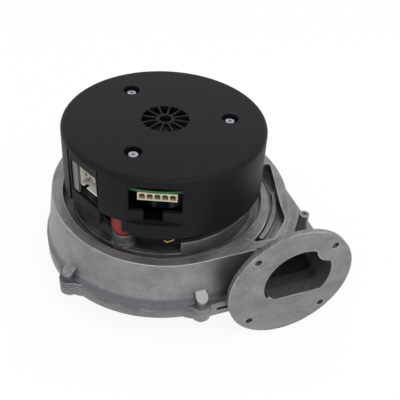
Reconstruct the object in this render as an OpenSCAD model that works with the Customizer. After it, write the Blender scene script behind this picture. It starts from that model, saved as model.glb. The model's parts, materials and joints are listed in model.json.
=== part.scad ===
// Centrifugal fan: die-cast scroll housing with a round outlet flange, a closed
// impeller and an external-rotor motor under a round electronics cover.
// Frame: millimetres, +Z up along the rotor axis, origin on that axis at the
// inlet face, outlet towards -Y. Azimuths are in degrees from +X towards +Y.

/* [Scroll housing] */
// Rim distance from the rotor axis at the front wall (-Y)
rim_front = 69.5; // [68:0.5:74]
// Rim distance from the rotor axis at the left (-X)
rim_left = 71.5; // [70:0.5:76]
// Rim distance from the rotor axis at the back (+Y)
rim_back = 76; // [74:0.5:82]
// Rim distance from the rotor axis at the curved right side (+X)
rim_right = 81; // [79:0.5:86]
// Rim distance from the rotor axis at the straight wall beside the outlet
outlet_wall = 77.5; // [76.5:0.5:79]
// Height of the front rim above the joint between the housing halves
rim_h = 32; // [30:0.5:36]
// Slope of the rim, rising towards the back, in degrees
rim_tilt = 3.7; // [0:0.1:5]
// How far the foot of the side wall stands out beyond the rim
foot_out = 3.2; // [2:0.1:4.5]
// Height of the foot of the side wall above the joint
foot_h = 8.7; // [7:0.1:12]
// Thickness of the cast side walls
wall_t = 3.2; // [2.5:0.1:4]
// Thickness of the cast roof under the channel
roof_t = 3.5; // [3:0.1:5]
// Depth of the channel below the front rim
channel_depth = 4.8; // [3:0.1:7]
// Width of the rim beside the channel's pocket
rim_w = 2; // [1.5:0.1:3]
// Width of the channel between the motor seat and the land inside the rim
channel_w = 5.8; // [4:0.1:7]
// Width of the land between the channel's pocket and the corner beside the outlet
corner_land = 12.9; // [11:0.1:14]

/* [Housing joint] */
// How far the joint flange stands out beyond the rim
flange_out = 5.4; // [5:0.1:7]
// Thickness of the upper half's joint flange
flange_t = 3.2; // [2.5:0.1:4]
// Thickness of the lower half's base plate
base_t = 6; // [5:0.5:9]
// Thickness of the gasket between the halves
gasket_t = 0.8; // [0.5:0.1:1.5]
// Distance of the screw axes beyond the rim
lug_out = 6.1; // [5.5:0.1:7]
// Radius of the rounded end of each lug
lug_r = 6; // [5:0.1:7]
// Radius of the screw columns on the upper half
column_r = 3.8; // [3.4:0.1:4.4]
// Height of each screw column at the wall
column_h = 11.5; // [9:0.5:13]
// Slope of the tops of the screw columns, in degrees
column_slope = 30; // [15:1:40]
// Azimuths of the lugs on the curved walls
lug_angles = [-155, -90, 128, 70, 15];
// Distance of the lug on the straight wall in front of the rotor axis
lug_straight = 45; // [35:1:50]
// How far the joint flange stands out along the straight front wall
apron_out = 9.4; // [8:0.1:11]
// Diameter of the housing screws
case_screw_d = 4; // [3:0.5:5]
// Length of the housing screws under the head
case_screw_l = 13; // [11:0.5:15]

/* [Inlet] */
// Height of the inlet collar below the base plate
collar_h = 20; // [14:0.5:30]
// Radius of the inlet bore
inlet_r = 30; // [26:0.5:31]
// Outer radius of the inlet face
collar_r = 46; // [44:0.5:50]
// Outer radius of the collar where it meets the base plate
collar_root_r = 58; // [54:0.5:62]
// Radius of the circle of threaded inlet holes
inlet_hole_pcr = 38; // [37.5:0.1:39]
// Core diameter of the threaded inlet holes
inlet_hole_d = 4.2; // [3.3:0.1:5]
// Depth of the threaded inlet holes
inlet_hole_depth = 14; // [10:0.5:16]

/* [Outlet] */
// Distance of the outlet face in front of the rotor axis
outlet_y = 86.8; // [85:0.2:95]
// Offset of the flange centre to the right of the rotor axis
outlet_x = 53; // [50:0.5:56]
// Height of the flange centre above the inlet face
outlet_z = 41.1; // [41:0.1:46]
// Diameter of the outlet flange
outlet_d = 82; // [78:0.5:84]
// Thickness of the outlet flange
outlet_t = 4.2; // [3.5:0.1:6]
// Chamfer on the flange's back edge
outlet_chamfer = 1.2; // [0.5:0.1:1.6]
// Distance of the outlet holes' centres inside the flange's edge
outlet_edge = 5.645; // [5:0.005:7]
// Diameter of the outlet holes
outlet_hole_d = 4.8; // [4:0.1:6]
// Radius of the round part of the outlet opening
duct_r = 22.5; // [21:0.1:23]
// Offset of the opening from the flange centre, to the right
duct_dx = 4.1; // [2:0.1:5]
// Offset of the opening from the flange centre, upwards
duct_dz = 2.9; // [1:0.1:3]
// Height of the flat side of the opening below the flange centre
duct_flat = 10.8; // [10:0.1:12]
// Leg of the cut corner at the opening's flat side
duct_corner = 4; // [2:0.1:5]
// Radius of the screw boss that bulges into the opening
duct_boss_r = 11.8; // [10:0.1:13]
// Diameter of the cast post beside the outlet
post_d = 6; // [4:0.1:7]
// Height of the cast post above the rim
post_h = 13.8; // [8:0.1:16]

/* [Motor seat] */
// How far the seat ring stands inside the cover's top edge
seat_in = 3.5; // [3:0.1:4.5]
// Thickness of the seat wall
seat_t = 3; // [2:0.1:4]
// Height of the seat ring's step above the channel
seat_h = 3.5; // [2.5:0.1:5]
// Depth of the seat's floor below the sill of that step
seat_lip = 0.6; // [0.3:0.1:1]
// Height of the damper pads above the channel
pad_h = 11.5; // [10:0.5:14]
// Distance of the dampers inside the seat ring's outer radius
damper_in = 7; // [7:0.1:8]
// Azimuth of the first damper
damper_az = -135; // [-136:1:-132]
// Diameter of the cast pads under the dampers
pad_d = 13.4; // [12:0.1:13.6]
// Diameter of the rubber dampers
damper_d = 14.4; // [13:0.1:15]
// Height of the rubber dampers
damper_h = 15; // [12:0.5:18]
// Diameter of the damper bolts
damper_bolt_d = 4; // [3:0.5:5]
// Azimuths where the seat wall is open for the leads
gap_az = [-200, -98];

/* [Motor] */
// Diameter of the shaft
shaft_d = 8; // [7:0.5:9]
// Outer diameter of the ball bearings
bearing_d = 22; // [21:0.5:24]
// Width of the ball bearings
bearing_w = 7; // [6:0.5:8]
// Number of balls in each bearing
ball_count = 7; // [6:1:7]
// Thickness of the bearing tube's wall
tube_t = 3; // [2:0.1:4]
// Gap between the rotor cup and the wall of the well
cup_gap = 3.65; // [2:0.05:5]
// Height of the stator stack
stack_h = 7; // [5:0.5:8]
// Number of stator teeth
tooth_count = 9; // [6:3:12]
// Gap between the stator and the magnet ring
air_gap = 0.6; // [0.4:0.1:1]
// Thickness of the magnet ring
magnet_t = 3; // [2:0.1:3.5]
// Thickness of the rotor cup's sheet
cup_t = 1.6; // [1:0.1:2]
// Thickness of the carrier plate
carrier_t = 4; // [3:0.1:5]

/* [Impeller] */
// Outer radius of the impeller
impeller_r = 58; // [54:0.5:59]
// Height of the blades
blade_h = 15.5; // [12:0.5:16.5]
// Thickness of the blades
blade_t = 1.2; // [1:0.1:2]
// Number of blades
blade_count = 11; // [7:1:13]
// Radius of each blade's curve
blade_bend = 36; // [34:0.5:40]
// Distance of the blade curve's centre from the rotor axis
blade_centre = 40; // [38:0.5:42]
// Thickness of the impeller's sheet discs
disc_t = 1.4; // [1:0.1:2]

/* [Electronics cover] */
// Radius of the cover at its top edge
cover_r = 62; // [61.8:0.1:64]
// Height of the cover
cover_h = 40.3; // [38:0.1:46]
// Wall thickness of the cover
cover_t = 2.2; // [1.8:0.1:2.4]
// Height of the cover's lower edge above the carrier plate's underside
cover_lift = 1.9; // [0:0.1:4]
// How much wider the cover is at its lower edge
cover_draft = 0.6; // [0:0.1:1]
// Radius of the cover's rounded top edge
cover_edge = 3.2; // [2.5:0.1:4]
// Gap between the pillars of the cover screws and the dampers
screw_gap = 0.8; // [0.4:0.1:1.6]
// Azimuth of the first cover screw
screw_az = -135; // [-138:1:-133]
// Diameter of the screw pockets
pocket_d = 10.5; // [9:0.1:12]
// Depth of the screw pockets
pocket_depth = 4; // [3.4:0.1:5]
// Thickness of the floor of the screw pockets
pocket_floor = 1.6; // [1.2:0.1:2]
// Depth of the board's upper face below the top of the cover
board_drop = 9.8; // [8:0.1:12]
// Outer radius of the vent rosette
vent_r = 14.4; // [12:0.1:16]
// Number of vent slots
vent_count = 12; // [8:1:14]
// Width of the spokes between the vent slots
vent_spoke = 1.2; // [0.8:0.1:1.6]
// Azimuth of the signal window
signal_az = -113; // [-116:0.5:-110]
// Width of the signal window
signal_w = 29.5; // [26:0.1:31]
// Azimuth of the mains window's flat panel
mains_az = -157.5; // [-160:0.5:-155]
// Width of the mains window's flat panel
mains_w = 27.7; // [27:0.1:29]
// Pitch of the signal header's ways
signal_pitch = 4.2; // [3.8:0.1:4.4]
// Height of the signal header
signal_h = 5.3; // [4.8:0.1:6]
// Height of the mains header
mains_h = 14; // [12:0.5:15]
// Gap between the bulk capacitor and the nearest pillar
capacitor_gap = 0.5; // [0.4:0.1:2.6]
// Height of the bulk capacitor
capacitor_h = 20; // [16:0.5:22]
// Gap between the control board and the cover's wall
board_gap = 2; // [1.8:0.1:4]
// Thickness of the control board
board_t = 1.6; // [1:0.1:2]

/* [Hidden] */
$fn = 96;
// clearances: close fit, running gap between bodies, play of a screw in its hole
fit = 0.05;
run = 0.4;
play = 0.25;
// overshoot of cuts, overlap of joined forms, and a length beyond the whole object
over = 1;
big = 400;

// levels, from the inlet face upwards
well_drop = 1;
base_z = collar_h;
seam_z = base_z + base_t;
case_z = seam_z + gasket_t;
foot_z = case_z + foot_h;
rim_z = case_z + rim_h;
channel_z = rim_z - channel_depth;
cavity_z = channel_z - roof_t;
well_z = channel_z - well_drop;
seat_z = channel_z + seat_h;
pad_z = channel_z + pad_h;
carrier_z = pad_z + damper_h * 0.4;
carrier_top = carrier_z + carrier_t;
cover_z = carrier_z + cover_lift;
cover_top = cover_z + cover_h;
spigot_z = cover_top - pocket_depth - pocket_floor;
board_r = cover_r - cover_t - board_gap;
board_top = cover_top - board_drop;
board_z = board_top - board_t;

// the scroll's three arcs, from the rim distances
arc1 = [0, rim_left - rim_front];
arc2_r = rim_back - arc1.y;
arc2 = [arc2_r - rim_left, arc1.y];
arc3_r = rim_right - arc2.x;
arc3 = [arc2.x, rim_back - arc3_r];
arc3_back = arc3_r / 3;
core_r = rim_front / 2;
wall_lean = foot_out / (rim_z - foot_z);
rim_peak = rim_z + (rim_front + rim_back + 2 * flange_out) * tan(rim_tilt) + over;
shoulder = 1.4;
apron_left = lug_r / 2;
column_step = 0.4;
// notch for a lever in the base plate's front edge: from, to, depth, height
pry_notch = [8.8, 16, 1.6, 2.2];
// shallow facing around the upper left outlet hole: diameter, depth
spot_face = [9.4, 0.35];
// the channel's pocket in plan, from its back end to the front rim
pocket_plan = [[0, 1.8], [outlet_wall - 0.6, 1.8], [outlet_wall - 0.2, -1.2], [outlet_wall - 10.8, -38.5],
    [outlet_wall - corner_land, -49], [outlet_wall - corner_land - 3.2, -53.4],
    [49.5, 5.3 - rim_front], [38, 6.2 - rim_front], [29, 13.5 - rim_front], [0, 29.5 - rim_front]];
// cast post: place beside the flange, taper on each side, dimple in its top as radius and depth
post_in = [16, 24.6];
post_at = [outlet_x + post_in.x, post_in.y - outlet_y];
post_taper = 0.5;
post_dimple = [1.5, 1];
// the crescent between channel and pocket: how far its outer circle is larger and set forward, height
crescent_out = 2.4;
crescent_shift = 6.2;
crescent_h = 5;
crescent_az = [-60, -1];
// the thin rib in the pocket: distance from the channel, thickness, height
fin_out = 7.8;
fin_t = 2.4;
fin_h = 3;
fin_az = [-54, -16];

// screw lugs: centre of the arc, radius of the arc, azimuth
lugs = concat(
    [for (i = [0, 1]) [arc1, rim_left, lug_angles[i]]],
    [[arc2, arc2_r, lug_angles[2]]],
    [for (i = [3, 4]) [arc3, arc3_r, lug_angles[i]]],
    [[[0, -lug_straight], outlet_wall, 0]]);

// outlet
outlet_back = outlet_y - outlet_t;
duct_x = outlet_x + duct_dx;
duct_z = outlet_z + duct_dz;
duct_floor = outlet_z - duct_flat;
neck_t = 3.3;
neck_end = rim_front - 6;
roof_run = outlet_t + 3;
outlet_pitch = (outlet_d / 2 - outlet_edge) * sqrt(2);
outlet_holes = [for (i = [-1, 1], j = [-1, 1]) [outlet_x, outlet_z] + [i, j] * outlet_pitch / 2];
// the tongue: gap to the impeller, left end, wall beside the duct, depth
tongue_gap = 3;
tongue_left = 4;
tongue_wall = 3;
tongue_depth = 16;

// inlet
inlet_groove = 3.2;
inlet_boss_r = inlet_hole_d / 2 + 3.6;
nozzle_t = 1.2;
nozzle_rise = 1.4;

// housing screws
case_head_r = case_screw_d * 0.9;
case_head_h = case_screw_d * 0.8;
case_tip = 0.6;
socket_depth = 1.8;

// motor seat and dampers; the carrier's forks grip the dampers from the inside
seat_r = cover_r - seat_in;
channel_r = seat_r + channel_w;
damper_r = seat_r - damper_in;
pad_r = pad_d / 2;
pad_flare = 2.6;
pad_flare_h = 6;
well_r = damper_r - pad_r - 0.4;
fork_half = 5.6;
fork_tip = 0.5;
fork_step = 0.3;
eye_r = damper_bolt_d / 2 + 2.6;
damper_ends = [[5.4, 0], [6.5, 1.6], [damper_d / 2, 4.4]];
damper_head_h = 2.6;
bolt_floor = 2;

// motor
shaft_r = shaft_d / 2;
bearing_r = bearing_d / 2;
ball_pitch = (shaft_r + bearing_r) / 2;
ball_r = (bearing_r - shaft_r) * 0.28;
groove_r = ball_r + fit;
ring_land = ball_r * 0.78;
tube_r = bearing_r + fit + tube_t;
seal_r = 10;
tube_flange_t = 2.4;
tube_flange_r = tube_r + 6;
tube_lip = 1.5;
tube_screw_r = 1.25;
tube_screw_pcr = tube_r + 3.6;
spring_h = 1.2;
spring_w = 2;
cup_z = well_z + 1.5;
tube_z = cup_z + cup_t + 1;
lower_bearing_z = tube_z + 0.4;
upper_bearing_z = carrier_top - bearing_w;
bushing_r = 7;
bushing_rim = 2.5;
bushing_wall = 1.2;
stack_z = (tube_z + carrier_z) / 2 - stack_h / 2 - 0.6;
cup_r = well_r - cup_gap;
cup_inner = cup_r - cup_t;
magnet_r = cup_inner - fit - magnet_t;
stator_r = magnet_r - air_gap;
yoke_share = 0.565;
cup_h = carrier_z - cup_z - 3;
yoke_r = stator_r * yoke_share;
tooth_gap = 2.4;
tooth_w = 5;
tip_t = 2.4;
coil_t = 1.9;
paper_t = 0.8;

// impeller
shroud_z = seam_z + 3.2;
blade_z = shroud_z + disc_t;
backplate_z = blade_z + blade_h;
mouth_r = inlet_r + 1.8;
mouth_lip = 2.2;
hub_r = 9;
hub_flange_r = 15;
hub_flange_t = 2.5;
hub_low = backplate_z - 8;
hub_high = cavity_z - 0.6;
rivet_count = 6;
rivet_pcr = (hub_r + hub_flange_r) / 2;
rivet_r = 1.5;
rivet_head_r = 2.2;
rivet_head_h = 0.8;
nut_h = 4;
shaft_low = hub_low - nut_h - 0.8;
clip_w = 1;
clip_depth = 0.5;
clip_z = carrier_top + 0.2;
shaft_high = clip_z + clip_w + 1.2;

// carrier
carrier_r = damper_r - damper_d / 2 - fit;
skirt_gap = 2.2;
skirt_r = cover_r - cover_t - skirt_gap;
skirt_t = 2;
skirt_az = [gap_az[1] - 24, gap_az[1] - 1];
skirt_z = seat_z + 6.5;

// cover: screw pockets, windows as [from, to] sideways and in height, notch in the lower edge
pocket_r = pocket_d / 2;
pillar_r = 4.2;
screw_r = damper_r - damper_d / 2 - pillar_r - screw_gap;
spigot_r = 2.9;
cover_screw_r = 1.5;
cover_screw_l = 8;
cover_head_r = 2.7;
cover_head_h = 2.2;
backing = 2;
facet_sink = 0.15;
signal_flat = sqrt(pow(cover_r, 2) - pow(signal_w / 2, 2)) - facet_sink;
signal_side = [-signal_w / 2, signal_w / 2];
signal_drop = [22.5, 6.3];
signal_z = [cover_top - signal_drop[0], cover_top - signal_drop[1]];
signal_notch = [-6.5, 4.3];
signal_notch_h = 7.3;
signal_notch_z = [signal_z[0] - signal_notch_h, signal_z[0] + over];
mains_flat = sqrt(pow(cover_r, 2) - pow(mains_w / 2, 2)) - facet_sink;
mains_jamb = [2, 1.2];
mains_side = [mains_jamb[0] - mains_w / 2, mains_w / 2 - mains_jamb[1]];
mains_drop = [31, 9.2];
mains_z = [cover_top - mains_drop[0], cover_top - mains_drop[1]];
mains_slit = 1.2;
mains_slit_depth = 1.4;
facet_top = cover_top - cover_edge - 2 * facet_sink;
notch_az = [-143.5, -130.5, -124.8];
notch_h = 9.3;
tab_h = 1.6;
vent_hub_r = 5.5;
vent_eye_r = 3.65;

// headers that hang under the board, behind the windows
header_gap = 0.4;
signal_front = signal_flat - cover_t - header_gap;
signal_depth = 9;
signal_shift = 0.9;
signal_half = signal_pitch * 2.5 + 0.5;
signal_cell = signal_pitch / 2 - 0.45;
signal_wall = 0.9;
signal_back = 2;
signal_arch = 1.9;
signal_spring = 1.6;
signal_pin_in = 3;
signal_ways = [for (i = [-2:2]) signal_shift + i * signal_pitch];
mains_front = mains_flat - cover_t - header_gap;
mains_body = [-7.2, 10];
mains_depth = 15;
mains_wall = 1;
key_in = 3.2;
key_w = 3.2;
key_depth = 3;
mains_key = [mains_body[0] + key_in, mains_body[0] + key_in + key_w];
mains_ways = [for (i = [0:2]) mains_body[0] + (i + 0.5) * (mains_body[1] - mains_body[0]) / 3];
pin_back = 4;
pin_in = 3;
sink_t = 1.5;
sink_w = 5;
sink_gap = 0.3;
sink_inset = 0.8;
capacitor_in = 15.47;
capacitor_az = -108;
capacitor_at = polar(signal_front - signal_depth - capacitor_in, capacitor_az);
capacitor_r = norm(capacitor_at - polar(screw_r, screw_az)) - pillar_r - capacitor_gap;
choke_pcr = 33;
choke_az = 158;
choke_at = polar(choke_pcr, choke_az);
choke_r = 12;
choke_hole_r = 5.5;
choke_h = 12;
module_az = 45;
module_x = [25, 43];
module_half = 14;
module_h = 6;

// brass strip on the skirt: azimuth, height and bent profile as [sideways, height]
contact_az = signal_az + 7.5;
contact_z = (skirt_z + cover_z) / 2 - 1.4;
contact_t = 0.6;
contact_form = [[-2.6, 0.9], [-2.2, 1.3], [-0.6, 0.2], [3.2, 1.8], [3.4, 1.3], [-0.6, -0.8]];

function polar(r, a) = [r * cos(a), r * sin(a)];
function wall_at(z) = foot_out - wall_lean * (z - foot_z);

// A ring or, with no inner radius, a disc
module ring(r_out, r_in, z, h) {
    translate([0, 0, z]) difference() {
        cylinder(r = r_out, h = h);
        if (r_in > 0) translate([0, 0, -over]) cylinder(r = r_in, h = h + 2 * over);
    }
}

// A ring section between two azimuths
module arc_wall(r_out, r_in, z, h, from, to) {
    rotate(from) rotate_extrude(angle = to - from)
        translate([r_in, z]) square([r_out - r_in, h]);
}

// A box in the frame of an azimuth: x outwards, y sideways
module az_box(az, x, y, z) {
    rotate(az) translate([x[0], y[0], z[0]]) cube([x[1] - x[0], y[1] - y[0], z[1] - z[0]]);
}

// Solid inside the scroll's outline; edge lists [offset from the rim, height] upwards
module scroll_body(edge) {
    low = edge[0][1];
    high = edge[len(edge) - 1][1];
    module side(r) {
        polygon(concat([[0, low]], [for (p = edge) [r + p[0], p[1]]], [[0, high]]));
    }
    translate(arc1) rotate(180) rotate_extrude(angle = 90) side(rim_left);
    translate(arc2) rotate(90) rotate_extrude(angle = 90) side(arc2_r);
    intersection() {
        translate(arc3) rotate(-90) rotate_extrude(angle = 180) side(arc3_r);
        translate([0, arc3.y - arc3_back, low - over]) cube([big, big, high - low + 2 * over]);
    }
    ring(core_r, 0, low, high - low);
    intersection() {
        translate([0, arc3.y, 0]) mirror([0, 1, 0]) rotate([90, 0, 90]) linear_extrude(big)
            side(rim_front + arc3.y);
        translate([0, arc3.y, 0]) rotate([90, 0, 0]) linear_extrude(big) side(outlet_wall);
    }
}

// Everything above the tilted rim
module above_rim() {
    translate([0, -rim_front, rim_z]) rotate([rim_tilt, 0, 0])
        translate([-big / 2, -big / 2, 0]) cube([big, big, big]);
}

// One lug in plan: a round end that runs out into the flange on both sides
module lug_plan(l) {
    half = [[0, 2.4], [flange_out, 1.7], [lug_out + 2, 0.93]];
    translate(l[0]) rotate(l[2]) {
        translate([l[1] + lug_out, 0]) circle(r = lug_r);
        polygon(concat([for (p = half) [l[1] + p[0], -lug_r * p[1]]],
            [for (i = [2:-1:0]) [l[1] + half[i][0], lug_r * half[i][1]]]));
    }
}

// Whatever is given, on each housing screw's axis
module at_lugs(z) {
    for (l = lugs) translate(concat(l[0] + polar(l[1] + lug_out, l[2]), z)) children();
}

// The joint flange's lugs, and its apron along the straight front wall
module lug_plates(z, h) {
    for (l = lugs) translate([0, 0, z]) linear_extrude(h) lug_plan(l);
    translate([apron_left, -rim_front - apron_out, z])
        cube([outlet_wall + flange_out - apron_left, apron_out, h]);
}

// The outlet opening seen from the front: a circle cut by a flat, a corner and the screw boss
module duct_plan(grow) {
    chord = sqrt(pow(duct_r, 2) - pow(duct_z - duct_floor, 2));
    difference() {
        translate([duct_x, duct_z]) circle(r = duct_r + grow);
        translate([0, duct_floor - grow - big]) square(big);
        if (grow == 0) {
            translate(outlet_holes[3]) circle(r = duct_boss_r);
            translate([duct_x - chord, duct_floor]) rotate(45)
                square(duct_corner * sqrt(2), center = true);
        }
    }
}

// A plan in X and Z, drawn out from one distance in front of the axis to another
module forward(from, to) {
    translate([0, -from, 0]) rotate([90, 0, 0]) linear_extrude(to - from) children();
}

// Space below a roof that falls from the outlet face towards the scroll
module under_duct_roof(lift) {
    translate([0, -outlet_y, 0]) rotate([90, 0, 90]) linear_extrude(big) polygon([[-over, 0],
        [outlet_y, 0], [outlet_y, cavity_z + lift], [outlet_y - neck_end, cavity_z + lift],
        [roof_run, duct_z + duct_r + lift], [-over, duct_z + duct_r + lift]]);
}

module lower_housing() {
    module at_inlet_holes() {
        for (i = [0:3]) rotate(45 + i * 90) translate([inlet_hole_pcr, 0, -over]) children();
    }
    color("silver") difference() {
        union() {
            scroll_body([[flange_out, base_z], [flange_out, seam_z]]);
            lug_plates(base_z, base_t);
            cylinder(r1 = collar_r, r2 = collar_root_r, h = base_z);
            ring(inlet_r + nozzle_t, 0, 0, shroud_z + nozzle_rise);
        }
        difference() {
            ring(inlet_hole_pcr + inlet_groove, inlet_hole_pcr - inlet_groove, -over, base_z - over);
            at_inlet_holes() cylinder(r = inlet_boss_r, h = base_z + over);
        }
        translate([0, 0, -over]) cylinder(r = inlet_r, h = big);
        at_inlet_holes() cylinder(d = inlet_hole_d, h = inlet_hole_depth + over);
        at_lugs(base_z - over) cylinder(d = case_screw_d + 2 * play, h = base_t + 2 * over);
        translate([pry_notch[0], -rim_front - apron_out - over, seam_z - pry_notch[3]])
            cube([pry_notch[1] - pry_notch[0], pry_notch[2] + over, pry_notch[3] + over]);
    }
}

module housing_gasket() {
    inner = wall_at(case_z) - wall_t;
    color("dimgray") difference() {
        union() {
            scroll_body([[flange_out, seam_z], [flange_out, case_z]]);
            lug_plates(seam_z, gasket_t);
        }
        scroll_body([[inner, seam_z - over], [inner, case_z + over]]);
        at_lugs(seam_z - over) cylinder(d = case_screw_d + 2 * play, h = gasket_t + 2 * over);
    }
}

module housing_screws() {
    color("lightgray") at_lugs(base_z) {
        cylinder(d = case_screw_d, h = case_screw_l);
        translate([0, 0, -case_head_h]) difference() {
            cylinder(r = case_head_r, h = case_head_h);
            translate([0, 0, -over]) cylinder(r = case_head_r / 2, h = socket_depth + over, $fn = 6);
        }
    }
}

// Shell of the upper half: outer walls, sloping rim and the channel around the motor seat
module scroll_shell() {
    flange_top = case_z + flange_t;
    low = channel_z - over;
    high = rim_peak + over;
    difference() {
        scroll_body([[flange_out, case_z], [flange_out, flange_top],
            [foot_out + shoulder, flange_top + shoulder], [foot_out, foot_z],
            [wall_at(rim_peak), rim_peak]]);
        above_rim();
        intersection() {
            translate([-big / 2, -big / 2, channel_z]) cube(big);
            union() {
                intersection() {
                    scroll_body([[-rim_w, low], [-rim_w, high]]);
                    ring(channel_r, 0, low - over, big);
                }
                intersection() {
                    scroll_body([[-rim_w - rim_z + low, low], [-rim_w, rim_z], [-rim_w, high]]);
                    translate([0, 0, low - over]) linear_extrude(big) polygon(pocket_plan);
                }
            }
        }
    }
}

// Motor seat: low ring, wall with a gap for the leads, pads for the dampers
module motor_seat() {
    low = channel_z - over;
    difference() {
        ring(seat_r, 0, low, pad_z - low);
        ring(seat_r - seat_t, 0, seat_z - seat_lip, big);
        arc_wall(seat_r + over, seat_r - seat_t - over, seat_z, big, gap_az[0], gap_az[1]);
    }
    at_dampers(low) {
        cylinder(r = pad_r, h = pad_z - low);
        cylinder(r1 = pad_r + pad_flare, r2 = pad_r - fit, h = pad_flare_h + over);
    }
}

// Cast ribs in the pocket: a crescent along the channel and a thin arc outside it
module channel_ribs() {
    low = channel_z - over;
    outer = channel_r + crescent_out;
    difference() {
        intersection() {
            translate([0, -crescent_shift, 0]) ring(outer, 0, low, crescent_h + over);
            arc_wall(outer + 2 * crescent_shift, outer / 2, low - over, crescent_h + 3 * over,
                crescent_az[0], crescent_az[1]);
        }
        ring(channel_r, 0, low - over, big);
    }
    arc_wall(channel_r + fin_out + fin_t, channel_r + fin_out, low, fin_h + over, fin_az[0], fin_az[1]);
}

// Screw columns that stand on the joint flange, with sloping tops
module lug_columns() {
    for (l = lugs) translate(concat(l[0], case_z)) rotate(l[2]) translate([l[1] + lug_out, 0, 0])
        difference() {
            union() {
                cylinder(r = column_r, h = column_h + over);
                translate([-lug_out, -column_r + column_step, 0])
                    cube([lug_out, 2 * (column_r - column_step), column_h + over]);
            }
            translate([-column_r, 0, column_h]) rotate([0, column_slope, 0])
                translate([-column_r * 4, -column_r * 2, 0])
                    cube([column_r * 10, column_r * 4, column_h]);
        }
}

// Neck and round flange of the outlet
module outlet() {
    intersection() {
        forward(neck_end, outlet_back + over) duct_plan(neck_t);
        under_duct_roof(neck_t);
        translate([-big / 2, -big / 2, case_z]) cube(big);
    }
    translate([outlet_x, -outlet_back, outlet_z]) rotate([90, 0, 0]) {
        cylinder(d1 = outlet_d - 2 * outlet_chamfer, d2 = outlet_d, h = outlet_chamfer);
        ring(outlet_d / 2, 0, outlet_chamfer, outlet_t - outlet_chamfer);
    }
}

// The tongue that divides the scroll from the outlet, clear of the impeller
module tongue() {
    inner = rim_front + wall_at(case_z) - wall_t / 2;
    width = duct_x - duct_r - tongue_wall - tongue_left;
    translate([0, 0, case_z]) linear_extrude(cavity_z - case_z + over) difference() {
        translate([tongue_left, -inner]) square([width, tongue_depth]);
        circle(r = impeller_r + tongue_gap);
    }
}

module upper_housing() {
    color("silver") difference() {
        union() {
            difference() {
                union() {
                    scroll_shell();
                    motor_seat();
                    channel_ribs();
                    lug_plates(case_z, flange_t);
                    lug_columns();
                    outlet();
                    translate(concat(post_at, channel_z))
                        cylinder(d1 = post_d + 2 * post_taper, d2 = post_d, h = rim_z + post_h - channel_z);
                }
                scroll_body([[wall_at(case_z) - wall_t, case_z - over],
                    [wall_at(cavity_z) - wall_t, cavity_z]]);
                intersection() {
                    forward(neck_end - over, outlet_y + over) duct_plan(0);
                    under_duct_roof(0);
                }
            }
            tongue();
        }
        ring(well_r, 0, well_z, big);
        ring(seal_r + fit, 0, cavity_z - over, big);
        at_dampers(channel_z + bolt_floor) cylinder(r = damper_bolt_d / 2 + fit, h = big);
        at_lugs(case_z - over) cylinder(r = case_screw_d / 2 + fit,
            h = base_z + case_screw_l + case_tip - case_z + over);
        for (p = outlet_holes) forward(outlet_back - over, outlet_y + over)
            translate(p) circle(d = outlet_hole_d);
        forward(outlet_y - spot_face[1], outlet_y + over) translate(outlet_holes[1])
            circle(d = spot_face[0]);
        translate(concat(post_at, rim_z + post_h - post_dimple[1]))
            cylinder(r = post_dimple[0], h = post_dimple[1] + over);
    }
}

// Place of each blade: from the eye to the rim on one arc, leaning back
function blade_angle(r) =
    acos((r * r - pow(blade_centre, 2) - pow(blade_bend, 2)) / (2 * blade_centre * blade_bend));

module impeller_blades() {
    from = blade_angle(mouth_r + over);
    to = blade_angle(impeller_r - over);
    color("gainsboro") for (i = [0:blade_count - 1]) rotate(i * 360 / blade_count)
        translate([blade_centre, 0, 0]) rotate(-from) rotate_extrude(angle = from - to)
            translate([blade_bend - blade_t / 2, blade_z]) square([blade_t, blade_h]);
}

// Whatever is given, on each rivet's axis
module at_rivets() {
    for (i = [0:rivet_count - 1]) rotate(i * 360 / rivet_count) translate([rivet_pcr, 0, 0]) children();
}

module impeller_backplate() {
    color("gainsboro") difference() {
        ring(impeller_r, hub_r + fit, backplate_z, disc_t);
        at_rivets() ring(rivet_r + fit, 0, backplate_z - over, disc_t + 2 * over);
    }
}

module impeller_shroud() {
    color("gainsboro") {
        ring(impeller_r, mouth_r, shroud_z, disc_t);
        ring(mouth_r + disc_t, mouth_r, shroud_z - mouth_lip, mouth_lip);
    }
}

module impeller_hub() {
    color("silver") difference() {
        union() {
            ring(hub_r, 0, hub_low, hub_high - hub_low);
            ring(hub_flange_r, 0, backplate_z - hub_flange_t, hub_flange_t);
        }
        ring(shaft_r + fit, 0, hub_low - over, big);
        at_rivets() ring(rivet_r + fit, 0, backplate_z - hub_flange_t - over, hub_flange_t + 2 * over);
    }
}

module impeller_rivets() {
    low = backplate_z - hub_flange_t;
    color("silver") at_rivets() {
        ring(rivet_r, 0, low, disc_t + hub_flange_t);
        ring(rivet_head_r, 0, low - rivet_head_h, rivet_head_h);
        ring(rivet_head_r, 0, backplate_z + disc_t, rivet_head_h);
    }
}

module impeller_nut() {
    color("lightgray") translate([0, 0, hub_low - nut_h]) difference() {
        cylinder(r = shaft_r * 1.85, h = nut_h, $fn = 6);
        translate([0, 0, -over]) cylinder(r = shaft_r + fit, h = nut_h + 2 * over);
    }
}

module shaft() {
    color("gray") difference() {
        ring(shaft_r, 0, shaft_low, shaft_high - shaft_low);
        ring(shaft_r + over, shaft_r - clip_depth, clip_z, clip_w);
    }
}

module shaft_seal() {
    color("black") ring(seal_r, shaft_r + run, cavity_z, well_z - cavity_z);
}

// One ball bearing, part by part
module bearing_outer(z) {
    color("lightgray") translate([0, 0, z]) rotate_extrude() difference() {
        translate([ball_pitch + ring_land, 0]) square([bearing_r - ball_pitch - ring_land, bearing_w]);
        translate([ball_pitch, bearing_w / 2]) circle(r = groove_r);
    }
}

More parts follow.
